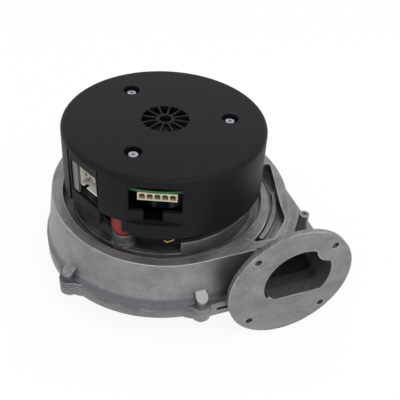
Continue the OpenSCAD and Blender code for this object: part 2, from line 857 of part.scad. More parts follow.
module bearing_inner(z) {
    color("lightgray") translate([0, 0, z]) rotate_extrude() difference() {
        translate([shaft_r + fit, 0]) square([ball_pitch - ring_land - shaft_r - fit, bearing_w]);
        translate([ball_pitch, bearing_w / 2]) circle(r = groove_r);
    }
}

module bearing_balls(z) {
    color("white") for (i = [0:ball_count - 1]) rotate(i * 360 / ball_count)
        translate([ball_pitch, 0, z + bearing_w / 2]) sphere(r = ball_r);
}

module bearing_cage(z) {
    half = ring_land - run;
    color("goldenrod") translate([0, 0, z + bearing_w / 2]) difference() {
        ring(ball_pitch + half, ball_pitch - half, -ball_r * 0.7, ball_r * 1.4);
        for (i = [0:ball_count - 1]) rotate(i * 360 / ball_count)
            translate([ball_pitch, 0, 0]) sphere(r = ball_r + fit);
    }
}

module lower_bearing_outer() { bearing_outer(lower_bearing_z); }
module lower_bearing_inner() { bearing_inner(lower_bearing_z); }
module lower_bearing_balls() { bearing_balls(lower_bearing_z); }
module lower_bearing_cage() { bearing_cage(lower_bearing_z); }
module upper_bearing_outer() { bearing_outer(upper_bearing_z); }
module upper_bearing_inner() { bearing_inner(upper_bearing_z); }
module upper_bearing_balls() { bearing_balls(upper_bearing_z); }
module upper_bearing_cage() { bearing_cage(upper_bearing_z); }

// Coned washer between the lower bearing's outer ring and the shoulder in the tube
module preload_spring() {
    low = lower_bearing_z + bearing_w;
    outer = bearing_r - 4 * fit;
    sheet = spring_h / 3;
    color("silver") rotate_extrude() polygon([[outer, low], [outer, low + sheet],
        [outer - spring_w, low + spring_h], [outer - spring_w, low + spring_h - sheet]]);
}

module retaining_ring() {
    slot = 2;
    color("dimgray") difference() {
        ring(shaft_r + 1.2, shaft_r - clip_depth + fit, clip_z + fit, clip_w - 2 * fit);
        translate([0, -slot / 2, clip_z - over]) cube([shaft_r * 2, slot, clip_w + 2 * over]);
    }
}

// Whatever is given, on each axis of the screws that hold the tube to the carrier
module at_tube_screws(z) {
    for (i = [0:2]) rotate(i * 120) translate([tube_screw_pcr, 0, z]) children();
}

module bearing_tube() {
    shoulder_z = lower_bearing_z + bearing_w + spring_h;
    low = carrier_z - tube_flange_t;
    color("silver") difference() {
        union() {
            ring(tube_r, 0, tube_z, carrier_top - tube_z);
            ring(tube_flange_r, 0, low, tube_flange_t);
        }
        ring(bearing_r - tube_lip, 0, tube_z - over, big);
        ring(bearing_r + fit, 0, tube_z - over, shoulder_z - tube_z + over);
        ring(bearing_r + fit, 0, upper_bearing_z, big);
        at_tube_screws(low - over) cylinder(r = tube_screw_r + fit, h = tube_flange_t + 2 * over);
    }
}

// Plan of the stator: yoke, teeth and tooth tips
module stator_plan(r) {
    difference() {
        circle(r = yoke_r);
        circle(r = tube_r + fit);
    }
    for (i = [0:tooth_count - 1]) rotate(i * 360 / tooth_count)
        translate([yoke_r - over, -tooth_w / 2]) square([r - tip_t / 2 - yoke_r + over, tooth_w]);
    difference() {
        circle(r = r);
        circle(r = r - tip_t);
        for (i = [0:tooth_count - 1]) rotate((i + 0.5) * 360 / tooth_count)
            translate([0, -tooth_gap / 2]) square([r * 2, tooth_gap]);
    }
}

module stator_core() {
    color("slategray") translate([0, 0, stack_z]) linear_extrude(stack_h) stator_plan(stator_r);
}

module stator_insulators() {
    color("ivory") for (z = [stack_z - paper_t, stack_z + stack_h])
        translate([0, 0, z]) linear_extrude(paper_t) stator_plan(stator_r - run);
}

module stator_coils() {
    from = yoke_r + 0.6;
    length = stator_r - tip_t - 0.9 - from;
    inner = [tooth_w / 2 + 2 * fit, stack_h / 2 + paper_t];
    color("peru") for (i = [0:tooth_count - 1]) rotate(i * 360 / tooth_count)
        translate([from, 0, stack_z + stack_h / 2]) difference() {
            translate([0, -inner.x - coil_t, -inner.y - coil_t])
                cube([length, 2 * (inner.x + coil_t), 2 * (inner.y + coil_t)]);
            translate([-over, -inner.x, -inner.y]) cube([length + 2 * over, 2 * inner.x, 2 * inner.y]);
        }
}

module rotor_cup() {
    color("darkslategray") {
        ring(cup_r, bushing_r + fit, cup_z, cup_t);
        ring(cup_r, cup_inner, cup_z, cup_h);
    }
}

module rotor_magnet() {
    color("black") ring(magnet_r + magnet_t, magnet_r, cup_z + cup_t, cup_h - cup_t - over);
}

module rotor_bushing() {
    low = well_z + run;
    color("goldenrod") difference() {
        union() {
            ring(bushing_r, 0, low, cup_z + cup_t - low);
            ring(bushing_r + bushing_rim, 0, low, cup_z - low);
            ring(shaft_r + bushing_wall, 0, cup_z, lower_bearing_z - cup_z);
        }
        ring(shaft_r + fit, 0, well_z - over, big);
    }
}

// Whatever is given, on each damper's axis or on each cover screw's axis
module at_dampers(z) {
    for (i = [0:2]) translate(concat(polar(damper_r, damper_az + i * 120), z)) children();
}

module at_cover_screws(z) {
    for (i = [0:2]) translate(concat(polar(screw_r, screw_az + i * 120), z)) children();
}

// A flat bar within the carrier's thickness on each damper's azimuth, from one radius to another
module at_forks(x, half) {
    for (i = [0:2]) az_box(damper_az + i * 120, x, [-half, half],
        [carrier_z + fork_step, carrier_top - fork_step]);
}

// Carrier plate with forks for the dampers, skirt beside the lead gap and pillars for board and cover
module motor_carrier() {
    low = carrier_z - over;
    color([0.1, 0.1, 0.11]) difference() {
        union() {
            ring(carrier_r, 0, carrier_z, carrier_t);
            at_forks([carrier_r - over, damper_r - fork_tip], fork_half);
            arc_wall(skirt_r, skirt_r - skirt_t, skirt_z, carrier_top - skirt_z, skirt_az[0], skirt_az[1]);
            arc_wall(skirt_r - skirt_t / 2, carrier_r - over, carrier_z + fork_step,
                carrier_t - 2 * fork_step, skirt_az[0] + over, skirt_az[1] - over);
            at_cover_screws(carrier_top - over) {
                cylinder(r = pillar_r, h = board_z - carrier_top + over);
                cylinder(r = spigot_r, h = spigot_z - carrier_top + over);
            }
        }
        ring(tube_r + fit, 0, low, carrier_t + 2 * over);
        at_dampers(low) cylinder(r = eye_r + fit, h = carrier_t + 2 * over);
        at_cover_screws(spigot_z - cover_screw_l - over) cylinder(r = cover_screw_r + fit, h = big);
        at_tube_screws(low) cylinder(r = tube_screw_r + fit, h = carrier_t + 2 * over);
    }
}

module carrier_screws() {
    head_h = tube_screw_r * 1.3;
    color("lightgray") at_tube_screws(0) {
        ring(tube_screw_r, 0, carrier_z - tube_flange_t, carrier_t + tube_flange_t);
        ring(tube_screw_r * 1.9, 0, carrier_top, head_h);
    }
}

module vibration_dampers() {
    hole = damper_bolt_d / 2 + fit;
    half = concat([[hole, 0]], damper_ends,
        [for (i = [2:-1:0]) [damper_ends[i].x, damper_h - damper_ends[i].y]], [[hole, damper_h]]);
    color("firebrick") difference() {
        at_dampers(pad_z) rotate_extrude() polygon(half);
        difference() {
            at_forks([damper_r - damper_d, damper_r - fork_tip + fit], fork_half + fit);
            at_dampers(carrier_z - over) cylinder(r = eye_r, h = carrier_t + 2 * over);
        }
    }
}

module damper_bolts() {
    top = pad_z + damper_h;
    low = channel_z + bolt_floor + over;
    color("lightgray") at_dampers(0) {
        ring(damper_bolt_d / 2, 0, low, top - low);
        difference() {
            ring(damper_bolt_d, 0, top, damper_head_h);
            translate([0, 0, top + over]) cylinder(r = damper_bolt_d * 0.45, h = damper_head_h, $fn = 6);
        }
    }
}

module control_board() {
    color("darkgreen") difference() {
        ring(board_r, 0, board_z, board_t);
        at_cover_screws(board_z - over) cylinder(r = spigot_r + play, h = board_t + 2 * over);
    }
}

module signal_connector() {
    low = board_z - signal_h + signal_wall;
    cell_h = signal_h - 2 * signal_wall;
    module cell() {
        translate([-signal_cell, 0]) square([2 * signal_cell, signal_spring + signal_wall / 2]);
        intersection() {
            translate([-signal_cell, signal_spring]) square([2 * signal_cell, cell_h - signal_spring]);
            translate([0, signal_spring]) circle(r = signal_arch + fit);
        }
    }
    color("antiquewhite") difference() {
        az_box(signal_az, [signal_front - signal_depth, signal_front],
            [signal_shift - signal_half, signal_shift + signal_half], [board_z - signal_h, board_z]);
        for (y = signal_ways) rotate(signal_az)
            translate([signal_front - signal_depth + signal_back, y, low])
                rotate([90, 0, 90]) linear_extrude(signal_depth) cell();
    }
}

module signal_pins() {
    mid = board_z - signal_h / 2;
    half = 0.4;
    from = signal_front - signal_depth + signal_back;
    color("gold") for (y = signal_ways) az_box(signal_az, [from, signal_front - signal_pin_in],
        [y - half, y + half], [mid - half, mid + half]);
}

module mains_connector() {
    low = board_z - mains_h;
    color("whitesmoke") difference() {
        az_box(mains_az, [mains_front - mains_depth, mains_front], mains_body, [low, board_z]);
        az_box(mains_az, [mains_front - mains_depth + pin_back, mains_front + over],
            [mains_body[0] + mains_wall, mains_body[1] - mains_wall],
            [low + mains_wall, board_z - mains_wall]);
        az_box(mains_az, [mains_front - key_depth, mains_front + over], mains_key,
            [low - over, low + mains_wall + over]);
    }
}

module mains_pins() {
    mid = board_z - mains_h / 2;
    half = 0.6;
    color("silver") for (y = mains_ways) az_box(mains_az,
        [mains_front - mains_depth + pin_back, mains_front - pin_in],
        [y - half, y + half], [mid - half, mid + half]);
}

module heat_sink() {
    front = mains_flat - sink_inset;
    left = mains_side[0] + sink_gap;
    color("lightgray") az_box(mains_az, [front - sink_t, front], [left, left + sink_w],
        [mains_z[0] + sink_gap, mains_z[1] - sink_gap]);
}

module bulk_capacitor() {
    color([0.06, 0.09, 0.13]) translate(concat(capacitor_at, board_z - capacitor_h))
        cylinder(r = capacitor_r, h = capacitor_h);
}

module choke() {
    color("peru") translate(concat(choke_at, 0)) ring(choke_r, choke_hole_r, board_z - choke_h, choke_h);
}

module power_module() {
    color("black") az_box(module_az, module_x, [-module_half, module_half], [board_z - module_h, board_z]);
}

module earth_contact() {
    color("gold") rotate(contact_az) translate([skirt_r + fit, 0, contact_z]) rotate([90, 0, 90])
        linear_extrude(contact_t) polygon(contact_form);
}

// Outer form of the cover in half section, inset by a wall thickness
module cover_section(inset) {
    r = cover_r - inset;
    top = cover_top - inset;
    low = cover_z - (inset > 0 ? over : 0);
    edge = cover_edge - inset * 0.6;
    polygon(concat([[0, low], [r + cover_draft, low]],
        [for (a = [0:15:90]) [r - edge + edge * cos(a), top - edge + edge * sin(a)]], [[0, top]]));
}

// Space inside the cover, up to the backings of the windows and the screw pockets
module cover_inside() {
    far = cover_r + 2 * over;
    edge = [-backing, backing];
    difference() {
        rotate_extrude() cover_section(cover_t);
        az_box(signal_az, [signal_flat - cover_t, far], signal_side + edge * 1.5,
            [cover_z - 2 * over, cover_top]);
        az_box(mains_az, [mains_flat - cover_t, far], [-1, 1] * mains_w / 2 + edge,
            [cover_z - 2 * over, cover_top]);
        at_cover_screws(spigot_z) cylinder(r = pocket_r + pocket_floor, h = cover_top - spigot_z);
    }
}

// The two windows with their flat panels, and the notch over the first damper
module cover_windows() {
    far = cover_r + 5;
    deep = 10;
    panel_z = [cover_z - over, facet_top + cover_edge / 5];
    az_box(signal_az, [signal_flat, far], signal_side + [-over, over], [signal_notch_z[0] - over, facet_top]);
    az_box(signal_az, [signal_flat - deep, far], signal_side, signal_z);
    az_box(signal_az, [signal_flat - deep, far], signal_notch, signal_notch_z);
    az_box(mains_az, [mains_flat, far], [-1, 1] * mains_w / 2, panel_z);
    for (s = [-1, 1]) az_box(mains_az, [mains_flat - mains_slit_depth, far],
        [s * mains_w - mains_slit, s * mains_w + mains_slit] / 2, panel_z);
    az_box(mains_az, [mains_flat - deep, far], mains_side, mains_z);
    arc_wall(far, cover_r - deep, cover_z - over, notch_h + over, notch_az[0], notch_az[1]);
    arc_wall(far, cover_r - deep, cover_z - over, tab_h + over, notch_az[1] - over, notch_az[2]);
}

// The vent rosette's slots and eye
module cover_vent() {
    low = cover_top - cover_t - over;
    difference() {
        ring(vent_r, vent_hub_r, low, cover_t + 2 * over);
        for (i = [0:vent_count - 1]) az_box(i * 360 / vent_count, [0, vent_r + over],
            [-vent_spoke / 2, vent_spoke / 2], [low - over, cover_top + 2 * over]);
    }
    ring(vent_eye_r, 0, low, cover_t + 2 * over);
}

module motor_cover() {
    color([0.13, 0.13, 0.14]) difference() {
        rotate_extrude() cover_section(0);
        cover_inside();
        cover_windows();
        cover_vent();
        at_cover_screws(0) {
            ring(pocket_r, 0, cover_top - pocket_depth, pocket_depth + over);
            ring(cover_screw_r + play, 0, spigot_z - over, big);
        }
    }
}

module cover_screws() {
    seat = cover_top - pocket_depth;
    slot = [cover_head_r * 1.26, cover_head_r * 0.26];
    color("gainsboro") at_cover_screws(seat) {
        translate([0, 0, -cover_screw_l]) cylinder(r = cover_screw_r, h = cover_screw_l);
        difference() {
            cylinder(r = cover_head_r, h = cover_head_h);
            for (a = [0, 90]) rotate(a) translate([-slot.x / 2, -slot.y / 2, cover_head_h / 2])
                cube([slot.x, slot.y, cover_head_h]);
        }
    }
}

lower_housing();
upper_housing();
housing_gasket();
housing_screws();
impeller_hub();
impeller_backplate();
impeller_blades();
impeller_shroud();
impeller_rivets();
impeller_nut();
shaft();
shaft_seal();
lower_bearing_outer();
lower_bearing_inner();
lower_bearing_balls();
lower_bearing_cage();
upper_bearing_outer();
upper_bearing_inner();
upper_bearing_balls();
upper_bearing_cage();
preload_spring();
retaining_ring();
bearing_tube();
stator_core();
stator_insulators();
stator_coils();
rotor_cup();
rotor_magnet();
rotor_bushing();
motor_carrier();
carrier_screws();
vibration_dampers();
damper_bolts();
control_board();
signal_connector();
signal_pins();
mains_connector();
mains_pins();
bulk_capacitor();
choke();
power_module();
heat_sink();
earth_contact();
motor_cover();
cover_screws();
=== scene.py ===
"""Looks of a centrifugal fan: a die-cast scroll housing, a closed impeller and an
external-rotor motor under a round black cover.

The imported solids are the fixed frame. This script gives each of them a procedural
finish, adds the small details that ride on them, and sets the studio and the camera.
"""

from __future__ import annotations

import json
import logging
import math
from dataclasses import dataclass, field
from enum import Enum
from types import MappingProxyType
from typing import Any, Mapping, Sequence, Union

import bmesh
import bpy
from mathutils import Matrix, Vector


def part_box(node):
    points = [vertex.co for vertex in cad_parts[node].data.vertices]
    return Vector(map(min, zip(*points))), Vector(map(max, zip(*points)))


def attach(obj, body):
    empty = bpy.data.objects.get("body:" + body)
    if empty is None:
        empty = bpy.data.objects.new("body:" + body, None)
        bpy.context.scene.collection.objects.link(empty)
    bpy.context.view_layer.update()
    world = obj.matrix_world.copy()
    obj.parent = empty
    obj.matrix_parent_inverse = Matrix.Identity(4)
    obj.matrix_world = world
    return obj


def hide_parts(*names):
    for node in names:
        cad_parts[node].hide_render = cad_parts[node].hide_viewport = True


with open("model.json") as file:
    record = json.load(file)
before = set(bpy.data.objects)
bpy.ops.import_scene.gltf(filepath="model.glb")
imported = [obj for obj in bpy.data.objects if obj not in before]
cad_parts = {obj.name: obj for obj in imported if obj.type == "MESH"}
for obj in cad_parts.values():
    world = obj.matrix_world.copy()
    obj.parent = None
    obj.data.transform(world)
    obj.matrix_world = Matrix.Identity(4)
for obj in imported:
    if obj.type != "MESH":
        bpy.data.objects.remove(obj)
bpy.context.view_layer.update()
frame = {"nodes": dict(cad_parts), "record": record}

MM = 0.001
LOG = logging.getLogger("fan")
NOTHING: Mapping[Any, Any] = MappingProxyType({})

# The middle of a noise's values
MEAN = 0.5
# Places of the colours and of the result among a Mix node's sockets
MIX_FIRST, MIX_SECOND, MIX_RESULT = 6, 7, 2
OPENNESS_SAMPLES = 8
BEVEL_SAMPLES = 4
# From which openness a point counts as an edge, and up to which it doesn't
EDGE_STOPS = ((0.6, 1.0), (0.9, 0.0))
# Edges under this angle are smooth
SMOOTH_ANGLE = math.radians(35)

Rgb = tuple[float, float, float]
Point = tuple[float, float, float]
Stops = tuple[tuple[float, float], ...]


def srgb(red: int, green: int, blue: int) -> Rgb:
    """A colour as it is read on a screen, as linear light.

    Args:
        red: Red from 0 to 255.
        green: Green from 0 to 255.
        blue: Blue from 0 to 255.

    Returns:
        The three linear values from 0 to 1.
    """

    def linear(value: int) -> float:
        """One channel as linear light, by the curve of the sRGB standard."""
        share = value / 255
        return share / 12.92 if share <= 0.04045 else ((share + 0.055) / 1.055) ** 2.4

    return linear(red), linear(green), linear(blue)


def shade(color: Rgb, share: float) -> Rgb:
    """A colour made darker or lighter, up to white."""
    red, green, blue = (min(1.0, channel * share) for channel in color)
    return red, green, blue


def eased(share: float) -> float:
    """A share from 0 to 1 with a level start and end."""
    return share * share * (3 - 2 * share)


class Body(Enum):
    """The rigid bodies that a detail can ride on."""

    HOUSING = "housing"
    ROTOR = "rotor"


class Wire:
    """A node's output, with arithmetic that adds Math nodes."""

    def __init__(self, graph: "Graph", socket: bpy.types.NodeSocket) -> None:
        """Keeps the graph and the output socket."""
        self.graph = graph
        self.socket = socket

    def _math(self, operation: str, left: "Value", right: "Value") -> "Wire":
        """One Math node on two values.

        Args:
            operation: Name of the Math node's operation.
            left: First value.
            right: Second value.

        Returns:
            The node's result.
        """
        sockets: Sockets = {0: left, 1: right}
        return self.graph.add("ShaderNodeMath", {"operation": operation}, sockets)["Value"]

    def __add__(self, other: "Value") -> "Wire":
        """self + other."""
        return self._math("ADD", self, other)

    __radd__ = __add__

    def __sub__(self, other: "Value") -> "Wire":
        """self - other."""
        return self._math("SUBTRACT", self, other)

    def __rsub__(self, other: "Value") -> "Wire":
        """other - self."""
        return self._math("SUBTRACT", other, self)

    def __mul__(self, other: "Value") -> "Wire":
        """self * other."""
        return self._math("MULTIPLY", self, other)

    __rmul__ = __mul__

    def __abs__(self) -> "Wire":
        """The value without its sign."""
        return self._math("ABSOLUTE", self, 0.0)

    def highest(self, other: "Value") -> "Wire":
        """The larger of self and other."""
        return self._math("MAXIMUM", self, other)


Value = Union[Wire, float, Sequence[float]]
Sockets = dict[Union[str, int], Value]


@dataclass(frozen=True)
class Pattern:
    """One fractal noise: cells per metre, octaves, and the strength of the finer octaves."""

    scale: float
    octaves: float
    roughness: float = 0.5


class Node:
    """One shader node, read by the names of its outputs."""

    def __init__(self, graph: "Graph", node: bpy.types.Node) -> None:
        """Keeps the graph and the node."""
        self.graph = graph
        self.node = node

    def __getitem__(self, output: Union[str, int]) -> Wire:
        """The output of that name or place."""
        return Wire(self.graph, self.node.outputs[output])


class Graph:
    """A node tree that is built one node at a time."""

    def __init__(self, tree: bpy.types.NodeTree) -> None:
        """Empties the tree and keeps it."""
        self.tree = tree
        tree.nodes.clear()

    def add(
        self,
        kind: str,
        settings: Mapping[str, Any] = NOTHING,
        inputs: Mapping[Union[str, int], Value] = NOTHING,
    ) -> Node:
        """Adds any node.

        Args:
            kind: The node's type.
            settings: Its settings, set first; "stops" holds a ramp's places and greys.
            inputs: Values or links of its sockets, by name or place.

        Returns:
            The node.
        """
        node = self.tree.nodes.new(kind)
        for name, value in settings.items():
            if name == "stops":
                self._set_stops(node.color_ramp, value)
            else:
                setattr(node, name, value)
        for name, value in inputs.items():
            if isinstance(value, Wire):
                self.tree.links.new(value.socket, node.inputs[name])
            else:
                node.inputs[name].default_value = value
        return Node(self, node)

    @staticmethod
    def _set_stops(ramp: bpy.types.ColorRamp, stops: Stops) -> None:
        """Gives a ramp its stops.

        Args:
            ramp: The ramp.
            stops: Place and grey of each stop.
        """
        while len(ramp.elements) > 1:
            ramp.elements.remove(ramp.elements[-1])
        for index, (place, grey) in enumerate(stops):
            stop = ramp.elements[0] if index == 0 else ramp.elements.new(place)
            stop.position = place
            stop.color = (grey, grey, grey, 1.0)

    def place(self) -> Wire:
        """Coordinates on the object, in metres."""
        return self.add("ShaderNodeTexCoord")["Object"]

    def apart(self, where: Wire) -> Node:
        """A vector taken apart into X, Y and Z."""
        return self.add("ShaderNodeSeparateXYZ", {}, {"Vector": where})

    def radius(self, where: Wire) -> Wire:
        """Distance from the rotor's axis in metres."""
        flat = self.stretch(where, (1.0, 1.0, 0.0))
        return self.add("ShaderNodeVectorMath", {"operation": "LENGTH"}, {0: flat})["Value"]

    def level(self) -> Wire:
        """Is 1 on level faces and 0 on upright ones."""
        return abs(self.apart(self.add("ShaderNodeNewGeometry")["True Normal"])["Z"])

    def noise(self, where: Wire, pattern: Pattern) -> Wire:
        """Fractal noise over a surface.

        Args:
            where: Coordinates in metres.
            pattern: Scale and octaves of the noise.

        Returns:
            Values around 0.5.
        """
        sockets: Sockets = {
            "Vector": where,
            "Scale": pattern.scale,
            "Detail": pattern.octaves,
            "Roughness": pattern.roughness,
        }
        return self.add("ShaderNodeTexNoise", {}, sockets)["Fac"]

    def stretch(self, where: Wire, scale: Sequence[float]) -> Wire:
        """Coordinates scaled along each axis."""
        return self.add("ShaderNodeMapping", {}, {"Vector": where, "Scale": scale})["Vector"]

    def ramp(self, value: Wire, stops: Stops) -> Wire:
        """A value drawn through a ramp of greys."""
        return self.add("ShaderNodeValToRGB", {"stops": stops}, {"Fac": value})["Color"]

    def mix(self, share: Value, first: Union[Wire, Rgb], second: Union[Wire, Rgb]) -> Wire:
        """Two colours mixed.

        Args:
            share: Share of the second colour.
            first: First colour.
            second: Second colour.

        Returns:
            The mixed colour.
        """
        sockets: Sockets = {"Factor": share, MIX_FIRST: opaque(first), MIX_SECOND: opaque(second)}
        return self.add("ShaderNodeMix", {"data_type": "RGBA"}, sockets)[MIX_RESULT]

    def openness(self, reach: float, inside: bool = False) -> Wire:
        """How open a point is, from 0 to 1.

        Args:
            reach: How far to look, in metres.
            inside: Whether to look into the piece, where thin edges come out low.

        Returns:
            The openness.
        """
        settings = {"samples": OPENNESS_SAMPLES, "inside": inside, "only_local": inside}
        return self.add("ShaderNodeAmbientOcclusion", settings, {"Distance": reach})["AO"]

    def rounded(self, radius: float) -> Wire:
        """The normal with edges rounded at a radius in metres."""
        return self.add("ShaderNodeBevel", {"samples": BEVEL_SAMPLES}, {"Radius": radius})["Normal"]

    def edges(self, reach: float) -> Wire:
        """A mask of the outer edges, from how thin the piece is within a reach in metres."""
        return self.ramp(self.openness(reach, inside=True), EDGE_STOPS)

    def bump(self, height: Wire, strength: float, depth: float, normal: Wire) -> Wire:
        """A normal with relief.

        Args:
            height: Height of the relief from 0 to 1.
            strength: Strength of the relief.
            depth: Depth of the relief in metres.
            normal: The normal underneath.

        Returns:
            The normal.
        """
        sockets: Sockets = {
            "Strength": strength,
            "Distance": depth,
            "Height": height,
            "Normal": normal,
        }
        return self.add("ShaderNodeBump", {}, sockets)["Normal"]


def opaque(color: Union[Wire, Rgb]) -> Value:
    """A plain colour with full alpha, or a linked one as it is."""
    return color if isinstance(color, Wire) else (*color, 1.0)


MADE: dict[str, bpy.types.Material] = {}


@dataclass(frozen=True)
class Finish:
    """A plain finish: one colour with a little mottle, grain and edge rounding."""

    name: str
    color: Rgb
    roughness: float
    metallic: float = 0.0
    specular: float = 0.5
    mottle: float = 0.08
    mottle_scale: float = 120.0
    mottle_octaves: float = 4.0
    mottle_gloss: float = 0.6
    grain: float = 0.0
    grain_scale: float = 2500.0
    grain_octaves: float = 3.0
    grain_depth: float = 0.05 * MM
    edge: float = 0.08 * MM

    def material(self) -> bpy.types.Material:
        """The finish as a material, made once.

        Returns:
            The material.
        """
        if self.name in MADE:
            return MADE[self.name]
        material = MADE[self.name] = bpy.data.materials.new(self.name)
        material.use_nodes = True
        material.diffuse_color = (*self.color, 1.0)
        graph = Graph(material.node_tree)
        sockets: Sockets = {"Metallic": self.metallic, "Specular IOR Level": self.specular}
        sockets.update(self.surface(graph, graph.place()))
        shader = graph.add("ShaderNodeBsdfPrincipled", {}, sockets)
        graph.add("ShaderNodeOutputMaterial", {}, {"Surface": shader["BSDF"]})
        return material

    def surface(self, graph: Graph, place: Wire) -> Sockets:
        """The shader's inputs that vary over the surface.

        Args:
            graph: The material's graph.
            place: Coordinates in metres.

        Returns:
            Values or links by the names of the shader's sockets.
        """
        patches = graph.noise(place, Pattern(self.mottle_scale, self.mottle_octaves))
        return {
            "Base Color": graph.mix(patches, *self.spread(self.mottle)),
            "Roughness": self.roughness + (patches - MEAN) * (self.mottle * self.mottle_gloss),
            "Normal": self.relief(graph, place),
        }

    def relief(self, graph: Graph, place: Wire) -> Wire:
        """Rounded edges and fine grain as a normal.

        Args:
            graph: The material's graph.
            place: Coordinates in metres.

        Returns:
            The normal.
        """
        return self.grained(graph, place, graph.rounded(self.edge))

    def grained(self, graph: Graph, place: Wire, normal: Wire) -> Wire:
        """A normal with the finish's fine grain.

        Args:
            graph: The material's graph.
            place: Coordinates in metres.
            normal: The normal underneath.

        Returns:
            The normal.
        """
        grain = graph.noise(place, Pattern(self.grain_scale, self.grain_octaves))
        return graph.bump(grain, self.grain, self.grain_depth, normal)

    def spread(self, share: float) -> tuple[Rgb, Rgb]:
        """The colour made darker and lighter by a share."""
        return shade(self.color, 1 - share), shade(self.color, 1 + share)


@dataclass(frozen=True)
class CastFinish(Finish):
    """As-cast light alloy: flow clouds, specks, painted shade in corners (partly soot), in hollows
    and in a band round the joint, painted edge highlights (partly wear), a peened skin.
    """

    grain_depth: float = 0.06 * MM
    clouds: Pattern = Pattern(60.0, 6.0, 0.66)
    cloud_stretch: Point = (1.0, 1.0, 1.3)
    cloud_share: float = 0.75
    cloud_gloss: float = 0.25
    fine: Pattern = Pattern(420.0, 4.0, 0.65)
    fine_gloss: float = 0.15
    flow: float = 0.3
    flow_stops: Stops = ((0.32, 0.0), (0.68, 1.0))
    specks: float = 0.55
    speck_pattern: Pattern = Pattern(620.0, 2.0)
    speck_stops: Stops = ((0.28, 1.0), (0.34, 0.0))
    speck_shade: float = 0.35
    streak: float = 1.8
    streak_pattern: Pattern = Pattern(32.0, 4.0, 0.6)
    streak_stops: Stops = ((0.36, 0.0), (0.64, 1.0))
    streak_pitch: float = 11.0
    streak_soot: float = 1.0
    streak_gloss: float = 0.2
    streak_faint: float = 0.25
    level_stops: Stops = ((0.5, 0.0), (0.9, 1.0))
    channel_radius: float = 68.0 * MM
    channel_stops: Stops = ((0.94, 1.0), (0.98, 0.0))
    channel_depth: float = 25.0 * MM
    depth_stops: Stops = ((0.06, 0.0), (0.2, 1.0), (0.7, 1.0), (0.8, 0.0))
    # Painted shade in corners, partly real soot, where the surface is closed in within a few
    # millimetres; the colour below also tints the other painted shade and the dark flow marks
    corner_shade_and_soot: float = 0.5
    corner_shade_and_soot_reach: float = 6.0 * MM
    corner_shade_and_soot_stops: Stops = ((0.25, 1.0), (0.8, 0.0))
    corner_gloss: float = 0.12
    shade_and_soot_color: Rgb = srgb(58, 60, 67)
    # Painted shade deep in the channel and the outlet, where the surface is closed in within a few
    # centimetres
    deep_shade: float = 0.42
    deep_shade_reach: float = 45.0 * MM
    deep_shade_stops: Stops = ((0.05, 1.0), (0.5, 0.0))
    # Bright edges: a painted highlight along the rim's edge, and painted highlights mixed with real
    # wear on other edges
    patch_highlight_and_wear: float = 0.55
    bright_edge_reach: float = 0.8 * MM
    bright_edge_pattern: Pattern = Pattern(70.0, 3.0)
    bright_edge_stops: Stops = ((0.4, 0.1), (0.62, 1.0))
    highlight_and_wear_color: Rgb = srgb(222, 223, 225)
    rim_level: float = 63.3 * MM
    rim_slope: float = math.tan(math.radians(3.7))
    rim_band: float = 1.5 * MM
    rim_stops: Stops = ((0.7, 1.0), (1.0, 0.0))
    rim_highlight: float = 0.4
    rim_highlight_patches: float = 0.5
    # Painted shade in a band from this level down, varied by the clouds
    low_shade: float = 0.5
    low_shade_level: float = 35.2 * MM
    low_shade_fade: float = 2.0 * MM
    low_shade_reach: float = 12.0 * MM
    low_shade_full: float = 0.7
    bowl_shade: float = 0.4
    outlet_front: float = 79.0 * MM
    outlet_shade: float = 0.3
    uneven: Pattern = Pattern(150.0, 2.0)
    uneven_strength: float = 0.35
    uneven_depth: float = 0.25 * MM

    def surface(self, graph: Graph, place: Wire) -> Sockets:
        """The cast skin's colour with its painted shade and painted edge highlights, its gloss and
        relief.

        Args:
            graph: The material's graph.
            place: Coordinates in metres.

        Returns:
            Values or links by the names of the shader's sockets.
        """
        clouds = graph.noise(graph.stretch(place, self.cloud_stretch), self.clouds)
        fine = graph.noise(place, self.fine)
        specks = graph.ramp(graph.noise(place, self.speck_pattern), self.speck_stops)
        lines = self.streaks(graph, place)
        cast = clouds * self.cloud_share + fine * (1 - self.cloud_share)
        flow = graph.ramp(cast, self.flow_stops) + lines * self.streak
        skin = graph.mix(flow, *self.spread(self.flow))
        skin = graph.mix(specks * self.specks, skin, shade(self.color, self.speck_shade))
        # Painted shade in corners, partly real soot
        corner = graph.ramp(graph.openness(self.corner_shade_and_soot_reach), self.corner_shade_and_soot_stops)
        # Painted shade in deep hollows
        hollow = graph.ramp(graph.openness(self.deep_shade_reach), self.deep_shade_stops)
        shade_and_soot = (corner * self.corner_shade_and_soot).highest(hollow * self.deep_shade)
        # Painted shade in a band below the joint, varied by the clouds
        settled = self.settled(graph, place) * (clouds + MEAN) * self.low_shade
        # All the darkening: painted shade in corners, hollows and below the joint, some soot, and
        # the dark flow marks
        dark = shade_and_soot.highest(settled).highest(lines * -self.streak_soot)
        skin = graph.mix(dark, skin, self.shade_and_soot_color)
        # Painted edge highlights, partly real wear, kept out of the corners
        bright_edges = graph.edges(self.bright_edge_reach) * (1.0 - corner) * self.bright_edge_share(graph, place)
        gloss = (clouds - MEAN) * self.cloud_gloss + (fine - MEAN) * self.fine_gloss
        gloss = gloss + corner * self.corner_gloss + lines * self.streak_gloss
        return {
            "Base Color": graph.mix(bright_edges, skin, self.highlight_and_wear_color),
            "Roughness": self.roughness + gloss,
            "Normal": self.relief(graph, place),
        }

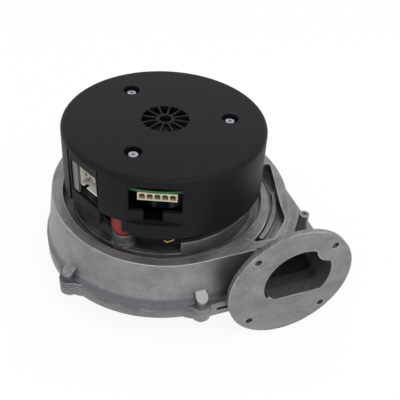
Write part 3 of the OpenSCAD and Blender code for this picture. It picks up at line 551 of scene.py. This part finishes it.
    def streaks(self, graph: Graph, place: Wire) -> Wire:
        """Flow marks round the axis, strong in the channel inside the rim, faint on level faces.

        Args:
            graph: The material's graph.
            place: Coordinates in metres.

        Returns:
            The marks, from -0.5 to 0.5.
        """
        apart = graph.apart(place)
        radius = graph.radius(place)
        round_axis = (radius + apart["Z"]) * self.streak_pitch
        wound: Sockets = {"X": round_axis, "Y": apart["X"], "Z": apart["Y"]}
        drawn = graph.add("ShaderNodeCombineXYZ", {}, wound)["Vector"]
        lines = graph.ramp(graph.noise(drawn, self.streak_pattern), self.streak_stops) - MEAN
        level = graph.ramp(graph.level(), self.level_stops)
        near = graph.ramp(radius * (1 / self.channel_radius), self.channel_stops)
        below = self.rim_level + apart["Y"] * self.rim_slope - apart["Z"]
        sunk = graph.ramp(below * (1 / self.channel_depth), self.depth_stops)
        return lines * (level.highest(near) * sunk).highest(level * self.streak_faint)

    def settled(self, graph: Graph, place: Wire) -> Wire:
        """Where shade is painted: a band round the joint, less on the bowl below and on the outlet
        flange.

        Args:
            graph: The material's graph.
            place: Coordinates in metres.

        Returns:
            The share of painted shade from 0 to 1.
        """
        apart = graph.apart(place)
        start = (self.low_shade_fade / self.low_shade_reach, 1.0)
        stops = ((0.0, 0.0), start, (self.low_shade_full, 1.0), (1.0, self.bowl_shade))
        below = graph.ramp((self.low_shade_level - apart["Z"]) * (1 / self.low_shade_reach), stops)
        behind = (apart["Y"] + self.outlet_front) * (1 / self.low_shade_fade)
        return below * graph.ramp(behind, ((0.0, self.outlet_shade), (1.0, 1.0)))

    def bright_edge_share(self, graph: Graph, place: Wire) -> Wire:
        """Where edges are painted bright: a painted highlight along the rim, and painted highlights
        with some wear in patches elsewhere.

        Args:
            graph: The material's graph.
            place: Coordinates in metres.

        Returns:
            The share of painted highlight and wear from 0 to 1.
        """
        apart = graph.apart(place)
        above = apart["Z"] - apart["Y"] * self.rim_slope - self.rim_level
        band = graph.ramp(abs(above) * (1 / self.rim_band), self.rim_stops)
        patches = graph.ramp(graph.noise(place, self.bright_edge_pattern), self.bright_edge_stops)
        return (patches * self.patch_highlight_and_wear).highest(band * (patches * self.rim_highlight_patches + self.rim_highlight))

    def relief(self, graph: Graph, place: Wire) -> Wire:
        """A peened skin over broad unevenness, with rounded edges.

        Args:
            graph: The material's graph.
            place: Coordinates in metres.

        Returns:
            The normal.
        """
        uneven = graph.noise(place, self.uneven)
        edge = graph.rounded(self.edge)
        broad = graph.bump(uneven, self.uneven_strength, self.uneven_depth, edge)
        return self.grained(graph, place, broad)


@dataclass(frozen=True)
class HollowFinish(Finish):
    """A moulded piece with a painted highlight at its edges and painted shade in its hollows."""

    # depth: the share of the colour left in the hollows, as painted shade
    depth: float = 0.35
    hollow_shade_reach: float = 5.0 * MM
    hollow_span: tuple[float, float] = (0.25, 0.7)
    # pale: the strength of the painted highlight on thin edges
    pale: float = 0.5
    edge_highlight_reach: float = 0.3 * MM
    edge_highlight_lift: float = 1.2

    def surface(self, graph: Graph, place: Wire) -> Sockets:
        """The plain finish with painted shade in its hollows and a painted highlight at its edges.

        Args:
            graph: The material's graph.
            place: Coordinates in metres.

        Returns:
            Values or links by the names of the shader's sockets.
        """
        plain = super().surface(graph, place)
        closed, clear = self.hollow_span
        # Painted shade where the piece is closed in
        hollow = graph.ramp(graph.openness(self.hollow_shade_reach), ((closed, 1.0), (clear, 0.0)))
        # Painted highlight on thin edges
        edges = graph.edges(self.edge_highlight_reach) * self.pale
        pale = graph.mix(edges, plain["Base Color"], shade(self.color, self.edge_highlight_lift))
        plain["Base Color"] = graph.mix(hollow, pale, shade(self.color, self.depth))
        return plain


@dataclass(frozen=True)
class BoardFinish(Finish):
    """A printed board: green mask with copper runs, painted shade in the middle under the cover, a
    pale cut edge.
    """

    run_color: Rgb = srgb(26, 96, 48)
    run_scale: float = 160.0
    run_stops: Stops = ((0.42, 0.0), (0.46, 1.0))
    side_color: Rgb = srgb(44, 96, 56)
    side_stops: Stops = ((0.3, 1.0), (0.6, 0.0))
    side_gloss: float = 0.25
    # Painted shade under the cover: within this radius of the axis, and where the board is closed
    # in within a few centimetres
    cover_shade_radius: float = 42.0 * MM
    cover_shade_stops: Stops = ((0.95, 1.0), (1.0, 0.0))
    hidden: float = 0.97
    hidden_reach: float = 25.0 * MM
    hidden_stops: Stops = ((0.1, 1.0), (0.45, 0.0))
    hidden_shade: float = 0.04

    def surface(self, graph: Graph, place: Wire) -> Sockets:
        """The mask, its runs and the cut edge, with painted shade where the cover hides it.

        Args:
            graph: The material's graph.
            place: Coordinates in metres.

        Returns:
            Values or links by the names of the shader's sockets.
        """
        laid: Sockets = {"Vector": place, "Scale": self.run_scale}
        cells = graph.add("ShaderNodeTexVoronoi", {"distance": "MANHATTAN"}, laid)["Distance"]
        runs = graph.mix(graph.ramp(cells, self.run_stops), self.color, self.run_color)
        side = graph.ramp(graph.level(), self.side_stops)
        # Painted shade under the cover, by distance from the axis and by how closed in the board is
        middle_shade = graph.ramp(graph.radius(place) * (1 / self.cover_shade_radius), self.cover_shade_stops)
        covered = graph.ramp(graph.openness(self.hidden_reach), self.hidden_stops)
        hidden = covered.highest(middle_shade) * self.hidden
        mask = graph.mix(hidden, runs, shade(self.color, self.hidden_shade))
        return {
            "Base Color": graph.mix(side, mask, self.side_color),
            "Roughness": self.roughness + side * self.side_gloss,
            "Normal": self.relief(graph, place),
        }


@dataclass(frozen=True)
class WoundFinish(Finish):
    """Enamelled wire laid in turns around a tooth or a core."""

    turns: float = 1400.0
    turn_strength: float = 0.7
    turn_depth: float = 0.15 * MM

    def relief(self, graph: Graph, place: Wire) -> Wire:
        """The turns as a normal.

        Args:
            graph: The material's graph.
            place: Coordinates in metres.

        Returns:
            The normal.
        """
        radius = graph.add("ShaderNodeVectorMath", {"operation": "LENGTH"}, {0: place})["Value"]
        wave = radius * (self.turns * math.tau)
        ridge = graph.add("ShaderNodeMath", {"operation": "SINE"}, {0: wave})["Value"]
        return graph.bump(ridge, self.turn_strength, self.turn_depth, graph.rounded(self.edge))


@dataclass(frozen=True)
class MouldedFinish(Finish):
    """Moulded black plastic with a fine spark texture, faint smudges and settled dust."""

    broad: Pattern = Pattern(30.0, 3.0)
    broad_gloss: float = 0.08
    smears: Pattern = Pattern(75.0, 5.0, 0.7)
    smear_stops: Stops = ((0.64, 0.0), (0.78, 1.0))
    smear_gloss: float = 0.06
    specks: Pattern = Pattern(1500.0, 1.0)
    speck_stops: Stops = ((0.74, 0.0), (0.8, 1.0))
    smudge: float = 0.05
    dust: Rgb = srgb(110, 110, 112)

    def surface(self, graph: Graph, place: Wire) -> Sockets:
        """The plastic with its smudges.

        Args:
            graph: The material's graph.
            place: Coordinates in metres.

        Returns:
            Values or links by the names of the shader's sockets.
        """
        broad = graph.noise(place, self.broad)
        smears = graph.ramp(graph.noise(place, self.smears), self.smear_stops)
        specks = graph.ramp(graph.noise(place, self.specks), self.speck_stops)
        plain = graph.mix(broad, *self.spread(self.mottle))
        gloss = (broad - MEAN) * self.broad_gloss + smears * self.smear_gloss
        return {
            "Base Color": graph.mix((smears + specks) * self.smudge, plain, self.dust),
            "Roughness": self.roughness + gloss,
            "Normal": self.relief(graph, place),
        }


# The finish of each material slot
FINISHES: dict[str, Finish] = {
    "cast_aluminium": CastFinish(
        "as_cast_alloy",
        srgb(133, 133, 135),
        0.42,
        metallic=0.8,
        grain=0.3,
        grain_scale=1300.0,
        edge=0.6 * MM,
    ),
    "sheet_aluminium": Finish(
        "rolled_aluminium", srgb(170, 172, 176), 0.36, 1.0, mottle_scale=60.0, grain=0.1
    ),
    "black_plastic": MouldedFinish(
        "cover_black",
        srgb(20, 20, 24),
        0.5,
        specular=0.12,
        mottle=0.1,
        grain=0.15,
        grain_scale=3200.0,
        edge=0.4 * MM,
    ),
    "carrier_plastic": MouldedFinish(
        "carrier_black",
        srgb(17, 17, 19),
        0.55,
        specular=0.1,
        smudge=0.02,
        grain=0.15,
        edge=0.3 * MM,
    ),
    "steel": Finish("ground_steel", srgb(160, 161, 164), 0.3, 1.0, grain=0.06, edge=0.15 * MM),
    "zinc_steel": Finish(
        "zinc_plating", srgb(176, 180, 186), 0.24, 1.0, mottle=0.05, edge=0.12 * MM
    ),
    "spring_steel": Finish("tempered_steel", srgb(110, 110, 114), 0.34, 1.0),
    "lamination_steel": Finish(
        "stacked_lamination", srgb(104, 106, 112), 0.45, 0.9, mottle=0.12
    ),
    "cup_steel": Finish("coated_cup", srgb(58, 61, 64), 0.45, 0.4, edge=0.3 * MM),
    "magnet": Finish("bonded_ferrite", srgb(44, 44, 45), 0.6, edge=0.2 * MM),
    "brass": Finish("bright_brass", srgb(222, 200, 140), 0.28, 1.0, edge=0.06 * MM),
    "copper": WoundFinish("enamelled_copper", srgb(168, 92, 52), 0.32, 0.75),
    "red_rubber": HollowFinish(
        "moulded_red",
        srgb(138, 52, 47),
        0.6,
        specular=0.3,
        mottle=0.1,
        grain=0.12,
        edge=0.8 * MM,
        # Painted shade on the damper where the carrier and the cover close it in
        depth=0.1,
        hollow_shade_reach=25.0 * MM,
        hollow_span=(0.12, 0.4),
        pale=0.0,
    ),
    "dark_rubber": Finish("gasket_grey", srgb(84, 85, 86), 0.75, specular=0.3),
    "board": BoardFinish("printed_board", srgb(18, 74, 38), 0.4),
    # The headers get painted shade inside their cells and a painted highlight on their front edges
    "cream_plastic": HollowFinish(
        "cream_nylon", srgb(194, 184, 158), 0.45, mottle=0.04, edge=0.12 * MM, depth=0.6
    ),
    "white_plastic": HollowFinish(
        "white_nylon", srgb(218, 215, 205), 0.45, mottle=0.04, edge=0.12 * MM
    ),
    "insulator_plastic": Finish("bobbin_plastic", srgb(214, 208, 188), 0.5),
    "sleeve": Finish("blue_sleeve", srgb(20, 38, 56), 0.3, mottle=0.05, edge=0.5 * MM),
    "module_plastic": Finish("module_black", srgb(26, 26, 27), 0.5),
    "sink_metal": Finish("plain_sheet", srgb(112, 114, 116), 0.45, 0.4, edge=0.1 * MM),
}


@dataclass
class Detail:
    """A small piece that is built in mesh code and rides on a body."""

    name: str
    slot: str
    body: Body = Body.HOUSING
    mesh: bmesh.types.BMesh = field(default_factory=bmesh.new)

    def tube(
        self,
        outer: Sequence[tuple[float, float]],
        inner: Sequence[tuple[float, float]],
        sides: int,
        stand: Matrix,
        turn: float = 0.0,
    ) -> None:
        """Adds a tube with a stepped outside and inside.

        Args:
            outer: Radius and height of each edge of the outside, from the foot to the mouth.
            inner: Radius and height of each edge of the inside, from the mouth to the floor.
            sides: Number of sides.
            stand: Where the tube stands, with its axis along local Z.
            turn: Turn about the axis in radians.
        """
        angles = [turn + math.tau * step / sides for step in range(sides)]
        rings = []
        for radius, height in [*outer, *inner]:
            corners = (Vector((radius * math.cos(a), radius * math.sin(a), height)) for a in angles)
            rings.append([stand @ corner for corner in corners])
        self.loft(rings)

    def loft(self, sections: Sequence[Sequence[Union[Vector, Point]]]) -> None:
        """Adds a solid drawn through closed sections of as many points each.

        Args:
            sections: The sections' points, from one end to the other.
        """
        rows = [[self.mesh.verts.new(point) for point in section] for section in sections]
        count = len(rows[0])
        for low, high in zip(rows, rows[1:]):
            for step in range(count):
                after = (step + 1) % count
                self.mesh.faces.new((low[step], low[after], high[after], high[step]))
        self.mesh.faces.new(list(reversed(rows[0])))
        self.mesh.faces.new(rows[-1])

    def place(self) -> None:
        """Makes the object, gives it its finish and lets it ride."""
        bmesh.ops.recalc_face_normals(self.mesh, faces=self.mesh.faces)
        data = bpy.data.meshes.new(self.name)
        self.mesh.to_mesh(data)
        self.mesh.free()
        data.shade_smooth()
        data.set_sharp_from_angle(angle=SMOOTH_ANGLE)
        data.materials.append(FINISHES[self.slot].material())
        piece = bpy.data.objects.new(self.name, data)
        bpy.context.scene.collection.objects.link(piece)
        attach(piece, self.body.value)
        LOG.info("%s rides on the %s", self.name, self.body.value)


@dataclass
class SubAssembly:
    """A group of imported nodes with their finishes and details."""

    nodes: tuple[str, ...] = ()

    def build(self) -> None:
        """Adds the details of this group."""

    def dress(self) -> None:
        """Gives each node the finish of its slot."""
        slots = {part["node"]: part["material_slot"] for part in frame["record"]["subparts"]}
        for name in self.nodes:
            finish = FINISHES[slots[name]]
            data = frame["nodes"][name].data
            data.materials.clear()
            data.materials.append(finish.material())
            LOG.info("%s: %s", name, finish.name)


@dataclass
class ScrollHousing(SubAssembly):
    """The two halves of the die-cast scroll, their gasket and screws."""

    nodes: tuple[str, ...] = ("lower_housing", "upper_housing", "housing_gasket", "housing_screws")
    wall_front: float = 69.5 * MM
    wall_right: float = 77.5 * MM
    foot_level: float = 35.5 * MM
    foot_out: float = 3.2 * MM
    wall_lean: float = 3.2 / 23.3
    foot_lean: float = 1.4 / 4.1
    tongue_front: float = 72.2948 * MM
    tongue_tolerance: float = 0.002 * MM
    neck_axis: tuple[float, float] = (57.1 * MM, 44.0 * MM)
    neck_radius: float = 25.8 * MM
    neck_back: float = 63.5 * MM
    neck_roof: float = 53.8 * MM
    loft_steps: int = 28
    curve_steps: int = 10
    sunk: float = 0.04 * MM
    fillet_radius: float = 5.0 * MM
    fillet_levels: tuple[float, float] = (31.0 * MM, 58.4 * MM)
    fillet_foot: tuple[float, float] = (0.35, 4.0 * MM)
    fillet_top: tuple[float, float] = (0.2, 7.0 * MM)
    fillet_deep: float = 1.2 * MM
    blend_levels: tuple[float, float] = (34.5 * MM, 58.6 * MM)
    blend_top: float = 2.5 * MM
    blend_slope: float = 2.5
    blend_least: float = 2.0 * MM
    blend_deep: float = 2.0 * MM
    mark_drop: float = 6.0 * MM
    mark_root: float = 0.05 * MM
    mark_floor: float = 0.02 * MM
    mark_sides: int = 40
    mark_radius: float = 3.2 * MM
    mark_lip: float = 0.35 * MM
    mark_height: float = 0.12 * MM
    mark_circle: float = 64.5 * MM
    mark_angles: tuple[float, ...] = (-178.0, -123.0, -50.0, 42.0, 98.0, 150.0)

    def build(self) -> None:
        """Adds the details of the casting."""
        self.build_casting()
        self.build_fillet()
        self.build_blend()
        self.build_marks()

    def draft(self, height: float) -> float:
        """How far the wall stands out from the rim at a height."""
        lean = self.wall_lean if height > self.foot_level else self.foot_lean
        return self.foot_out + (self.foot_level - height) * lean

    def neck_half(self, height: float) -> float:
        """Half the width of the neck at a height."""
        return math.sqrt(self.neck_radius**2 - (height - self.neck_axis[1]) ** 2)

    def build_casting(self) -> None:
        """Stands for the upper half, its front wall level where the tongue comes through it."""
        packed = frame["nodes"]["upper_housing"]
        data = packed.data.copy()
        data.name = "upper_casting"
        normals = [tuple(corner.vector) for corner in data.corner_normals]
        proud = set()
        for vertex in data.vertices:
            in_front = abs(vertex.co.y + self.tongue_front) < self.tongue_tolerance
            if in_front and 0 < vertex.co.x < self.neck_axis[0]:
                vertex.co.y = -self.wall_front - self.draft(vertex.co.z)
                proud.add(vertex.index)
        level = tuple(Vector((0.0, -1.0, self.wall_lean)).normalized())
        for face in data.polygons:
            if proud.issuperset(face.vertices):
                for corner in face.loop_indices:
                    normals[corner] = level
        data.normals_split_custom_set(normals)
        piece = bpy.data.objects.new("upper_casting", data)
        bpy.context.scene.collection.objects.link(piece)
        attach(piece, Body.HOUSING.value)
        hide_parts("upper_housing")
        LOG.info("upper_casting stands for upper_housing, %d points levelled", len(proud))

    def heights(self, levels: tuple[float, float]) -> list[float]:
        """The heights of a loft's sections, from its foot to its top."""
        low, high = levels
        return [low + (high - low) * step / self.loft_steps for step in range(self.loft_steps + 1)]

    def build_fillet(self) -> None:
        """Rounds the corner between the front wall and the left side of the neck."""
        fillet = Detail("neck_fillet", "cast_aluminium")
        fillet.loft([self.fillet_section(height) for height in self.heights(self.fillet_levels)])
        fillet.place()

    def fillet_section(self, height: float) -> list[Point]:
        """The fillet's outline at a height, smaller towards its foot and its top.

        Args:
            height: The height in metres.

        Returns:
            The outline's points.
        """
        low, high = self.fillet_levels
        foot, foot_run = self.fillet_foot
        top, top_run = self.fillet_top
        share = min(1.0, top + (high - height) / top_run, foot + (height - low) / foot_run)
        radius = self.fillet_radius * share
        side = self.neck_axis[0] - self.neck_half(height) + self.sunk
        wall = -self.wall_front - self.draft(height) + self.sunk
        section = []
        for step in range(self.curve_steps + 1):
            angle = math.pi / 2 * step / self.curve_steps
            across = side - radius * (1 - math.sin(angle))
            section.append((across, wall - radius * (1 - math.cos(angle)), height))
        inside, behind = side + self.fillet_deep, wall + self.fillet_deep
        section += [(inside, wall - radius, height), (inside, behind, height)]
        section.append((side - radius, behind, height))
        return section

    def build_blend(self) -> None:
        """Runs the back of the neck out into the right wall."""
        blend = Detail("neck_blend", "cast_aluminium")
        blend.loft([self.blend_section(height) for height in self.heights(self.blend_levels)])
        blend.place()

    def blend_section(self, height: float) -> list[Point]:
        """The run-out's outline at a height, flat with the wall at its top.

        Args:
            height: The height in metres.

        Returns:
            The outline's points.
        """
        deep, sunk = self.blend_deep, self.sunk
        wall = self.wall_right + self.draft(height)
        end = min(1.0, (self.blend_levels[1] - height) / self.blend_top)
        proud = max(0.0, self.neck_axis[0] + self.neck_half(height) - wall) * end
        back = -self.neck_back - max(0.0, height - self.neck_roof)
        front = back - deep
        reach = self.blend_slope * proud + self.blend_least
        section = [(wall - deep, back + deep, height), (wall - sunk, back, height)]
        section += [(wall - sunk, front, height), (wall + proud - sunk, front, height)]
        section.append((wall + proud + sunk, back - deep / 3, height))
        for step in range(self.curve_steps + 1):
            share = step / self.curve_steps
            out = (proud + 2 * sunk) * (1 - eased(share)) - sunk
            section.append((wall + out, back + reach * share, height))
        behind = back + reach + deep
        section += [(wall - deep / 4, behind, height), (wall - deep, behind, height)]
        return section

    def build_marks(self) -> None:
        """Adds the rings that the ejector pins left under the base plate."""
        low = min(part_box("housing_gasket")[0].z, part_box("upper_housing")[1].z) - self.mark_drop
        lip, hollow = self.mark_radius - self.mark_lip, self.mark_radius - 2 * self.mark_lip
        outer = [(self.mark_radius, -self.mark_root), (self.mark_radius, self.mark_height)]
        inner = [(lip, self.mark_height), (hollow, self.mark_floor)]
        out = Matrix.Translation((self.mark_circle, 0, low))
        rings = Detail("ejector_marks", "cast_aluminium")
        for angle in self.mark_angles:
            at = Matrix.Rotation(math.radians(angle), 4, "Z") @ out
            rings.tube(outer, inner, self.mark_sides, at @ Matrix.Rotation(math.pi, 4, "X"))
        rings.place()


@dataclass
class Impeller(SubAssembly):
    """The closed impeller on its hub."""

    nodes: tuple[str, ...] = (
        "impeller_hub",
        "impeller_backplate",
        "impeller_blades",
        "impeller_shroud",
        "impeller_rivets",
        "impeller_nut",
    )


@dataclass
class Motor(SubAssembly):
    """The external-rotor motor, its bearings and its rubber mounts."""

    nodes: tuple[str, ...] = (
        "shaft",
        "shaft_seal",
        "lower_bearing_outer",
        "lower_bearing_inner",
        "lower_bearing_balls",
        "lower_bearing_cage",
        "upper_bearing_outer",
        "upper_bearing_inner",
        "upper_bearing_balls",
        "upper_bearing_cage",
        "preload_spring",
        "retaining_ring",
        "bearing_tube",
        "stator_core",
        "stator_insulators",
        "stator_coils",
        "rotor_cup",
        "rotor_magnet",
        "rotor_bushing",
        "motor_carrier",
        "carrier_screws",
        "vibration_dampers",
        "damper_bolts",
    )


@dataclass
class Electronics(SubAssembly):
    """The control board with its headers and large parts."""

    nodes: tuple[str, ...] = (
        "control_board",
        "signal_connector",
        "signal_pins",
        "mains_connector",
        "mains_pins",
        "bulk_capacitor",
        "choke",
        "power_module",
        "heat_sink",
        "earth_contact",
    )
    mains_azimuth: float = -157.5
    mains_front: float = 57.7 * MM
    way_places: tuple[float, ...] = (-4.33 * MM, 1.4 * MM, 7.13 * MM)
    sleeve_half: float = 1.75 * MM
    sleeve_wall: float = 0.55 * MM
    sleeve_chamfer: float = 0.2 * MM
    sleeve_hole: float = 4.0 * MM
    sleeve_reach: tuple[float, float] = (11.0 * MM, 2.6 * MM)

    def build(self) -> None:
        """Adds the square sleeves around the pins of the mains header."""
        low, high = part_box("mains_connector")
        middle = (low.z + high.z) / 2
        foot, mouth = (self.mains_front - reach for reach in self.sleeve_reach)
        length, chamfer = mouth - foot, self.sleeve_chamfer
        diagonal = math.sqrt(2)
        outside = self.sleeve_half * diagonal
        inside = (self.sleeve_half - self.sleeve_wall) * diagonal
        outer = [(outside, 0.0), (outside, length - chamfer), (outside - chamfer, length)]
        inner = [(inside, length), (inside, length - self.sleeve_hole)]
        turned = Matrix.Rotation(math.radians(self.mains_azimuth), 4, "Z")
        lying = Matrix.Rotation(math.pi / 2, 4, "Y")
        sleeves = Detail("mains_pin_sleeves", "white_plastic")
        for side in self.way_places:
            stand = turned @ (Matrix.Translation((foot, side, middle)) @ lying)
            sleeves.tube(outer, inner, 4, stand, math.pi / 4)
        sleeves.place()


@dataclass
class Cover(SubAssembly):
    """The round cover over the electronics."""

    nodes: tuple[str, ...] = ("motor_cover", "cover_screws")


@dataclass
class Studio:
    """Pale floor, soft light and the camera of the photograph."""

    floor_half: float = 3.0
    floor_color: Rgb = (0.95, 0.95, 0.95)
    floor_glow: float = 0.9
    sky: float = 0.8
    key_power: float = 8.0
    key_size: float = 0.9
    key_place: Point = (0.1, -0.8, 1.3)
    key_aim: Point = (0.0, 0.0, 0.05)
    eye: Vector = field(default_factory=lambda: Vector((-101.3, -294.4, 308.7)) * MM)
    heading: float = 66.5
    dip: float = 39.52
    roll: float = 4.45
    focal_pixels: float = 606.5
    image_pixels: float = 400.0
    sensor: float = 36.0
    nearest: float = 0.01

    def build(self) -> None:
        """Makes the floor, the sky, the lamp and the camera."""
        self.build_floor()
        self.build_sky()
        self.build_lamp()
        self.build_camera()

    def seen(self, graph: Graph) -> Wire:
        """Which rays see the backdrop: those from the eye, off gloss and through glass.

        Args:
            graph: The graph of the floor or the sky.

        Returns:
            1 for such rays and 0 for the rest.
        """
        path = graph.add("ShaderNodeLightPath")
        direct = path["Is Camera Ray"].highest(path["Is Glossy Ray"])
        return direct.highest(path["Is Transmission Ray"])

    def build_floor(self) -> None:
        """A plain pale floor that keeps the object's soft shadow."""
        half = self.floor_half
        corners = [(-half, -half, 0), (half, -half, 0), (half, half, 0), (-half, half, 0)]
        mesh = bpy.data.meshes.new("floor")
        mesh.from_pydata(corners, [], [(0, 1, 2, 3)])
        floor = bpy.data.objects.new("floor", mesh)
        bpy.context.scene.collection.objects.link(floor)
        material = bpy.data.materials.new("pale_floor")
        material.use_nodes = True
        graph = Graph(material.node_tree)
        matte = graph.add("ShaderNodeBsdfDiffuse", {}, {"Color": opaque(self.floor_color)})["BSDF"]
        glow = graph.add("ShaderNodeEmission", {}, {"Strength": 1.0})["Emission"]
        share = self.seen(graph) * self.floor_glow
        both = graph.add("ShaderNodeMixShader", {}, {0: share, 1: matte, 2: glow})
        graph.add("ShaderNodeOutputMaterial", {}, {"Surface": both["Shader"]})
        mesh.materials.append(material)

    def white_sky(self, graph: Graph, strength: float) -> Wire:
        """White light from all sides, where a strength of 1 is white to the eye."""
        sockets: Sockets = {"Color": (1.0, 1.0, 1.0, 1.0), "Strength": strength}
        return graph.add("ShaderNodeBackground", {}, sockets)["Background"]

    def build_sky(self) -> None:
        """A soft even sky, white where the eye sees it."""
        world = bpy.data.worlds.new("studio")
        bpy.context.scene.world = world
        world.use_nodes = True
        graph = Graph(world.node_tree)
        light, plain = self.white_sky(graph, self.sky), self.white_sky(graph, 1.0)
        both = graph.add("ShaderNodeMixShader", {}, {0: self.seen(graph), 1: light, 2: plain})
        graph.add("ShaderNodeOutputWorld", {}, {"Surface": both["Shader"]})

    def build_lamp(self) -> None:
        """One large soft lamp, from above in front."""
        lamp = bpy.data.lights.new("key", "AREA")
        lamp.energy = self.key_power
        lamp.size = self.key_size
        holder = bpy.data.objects.new("key", lamp)
        holder.location = self.key_place
        aim = Vector(self.key_aim) - holder.location
        holder.rotation_euler = aim.to_track_quat("-Z", "Y").to_euler()
        bpy.context.scene.collection.objects.link(holder)

    def build_camera(self) -> None:
        """The camera that the photograph was taken with, found from the object's circles."""
        turn, down, tilt = (math.radians(angle) for angle in (self.heading, self.dip, self.roll))
        flat = math.cos(down)
        ahead = Vector((math.cos(turn) * flat, math.sin(turn) * flat, -math.sin(down)))
        level = ahead.cross(Vector((0, 0, 1))).normalized()
        above = level.cross(ahead)
        right = level * math.cos(tilt) + above * math.sin(tilt)
        up = above * math.cos(tilt) - level * math.sin(tilt)
        camera = bpy.data.cameras.new("photograph")
        camera.sensor_width = self.sensor
        camera.lens = self.focal_pixels / self.image_pixels * self.sensor
        camera.clip_start = self.nearest
        holder = bpy.data.objects.new("photograph", camera)
        axes = Matrix((right, up, -ahead)).transposed()
        holder.matrix_world = Matrix.Translation(self.eye) @ axes.to_4x4()
        bpy.context.scene.collection.objects.link(holder)
        bpy.context.scene.camera = holder


def main() -> None:
    """Builds and dresses the fan, then sets the studio."""
    logging.basicConfig(level=logging.INFO, format="%(name)s: %(message)s")
    bpy.context.scene.view_settings.view_transform = "Standard"
    for group in (ScrollHousing(), Impeller(), Motor(), Electronics(), Cover()):
        group.dress()
        group.build()
    Studio().build()


if __name__ == "__main__":
    main()
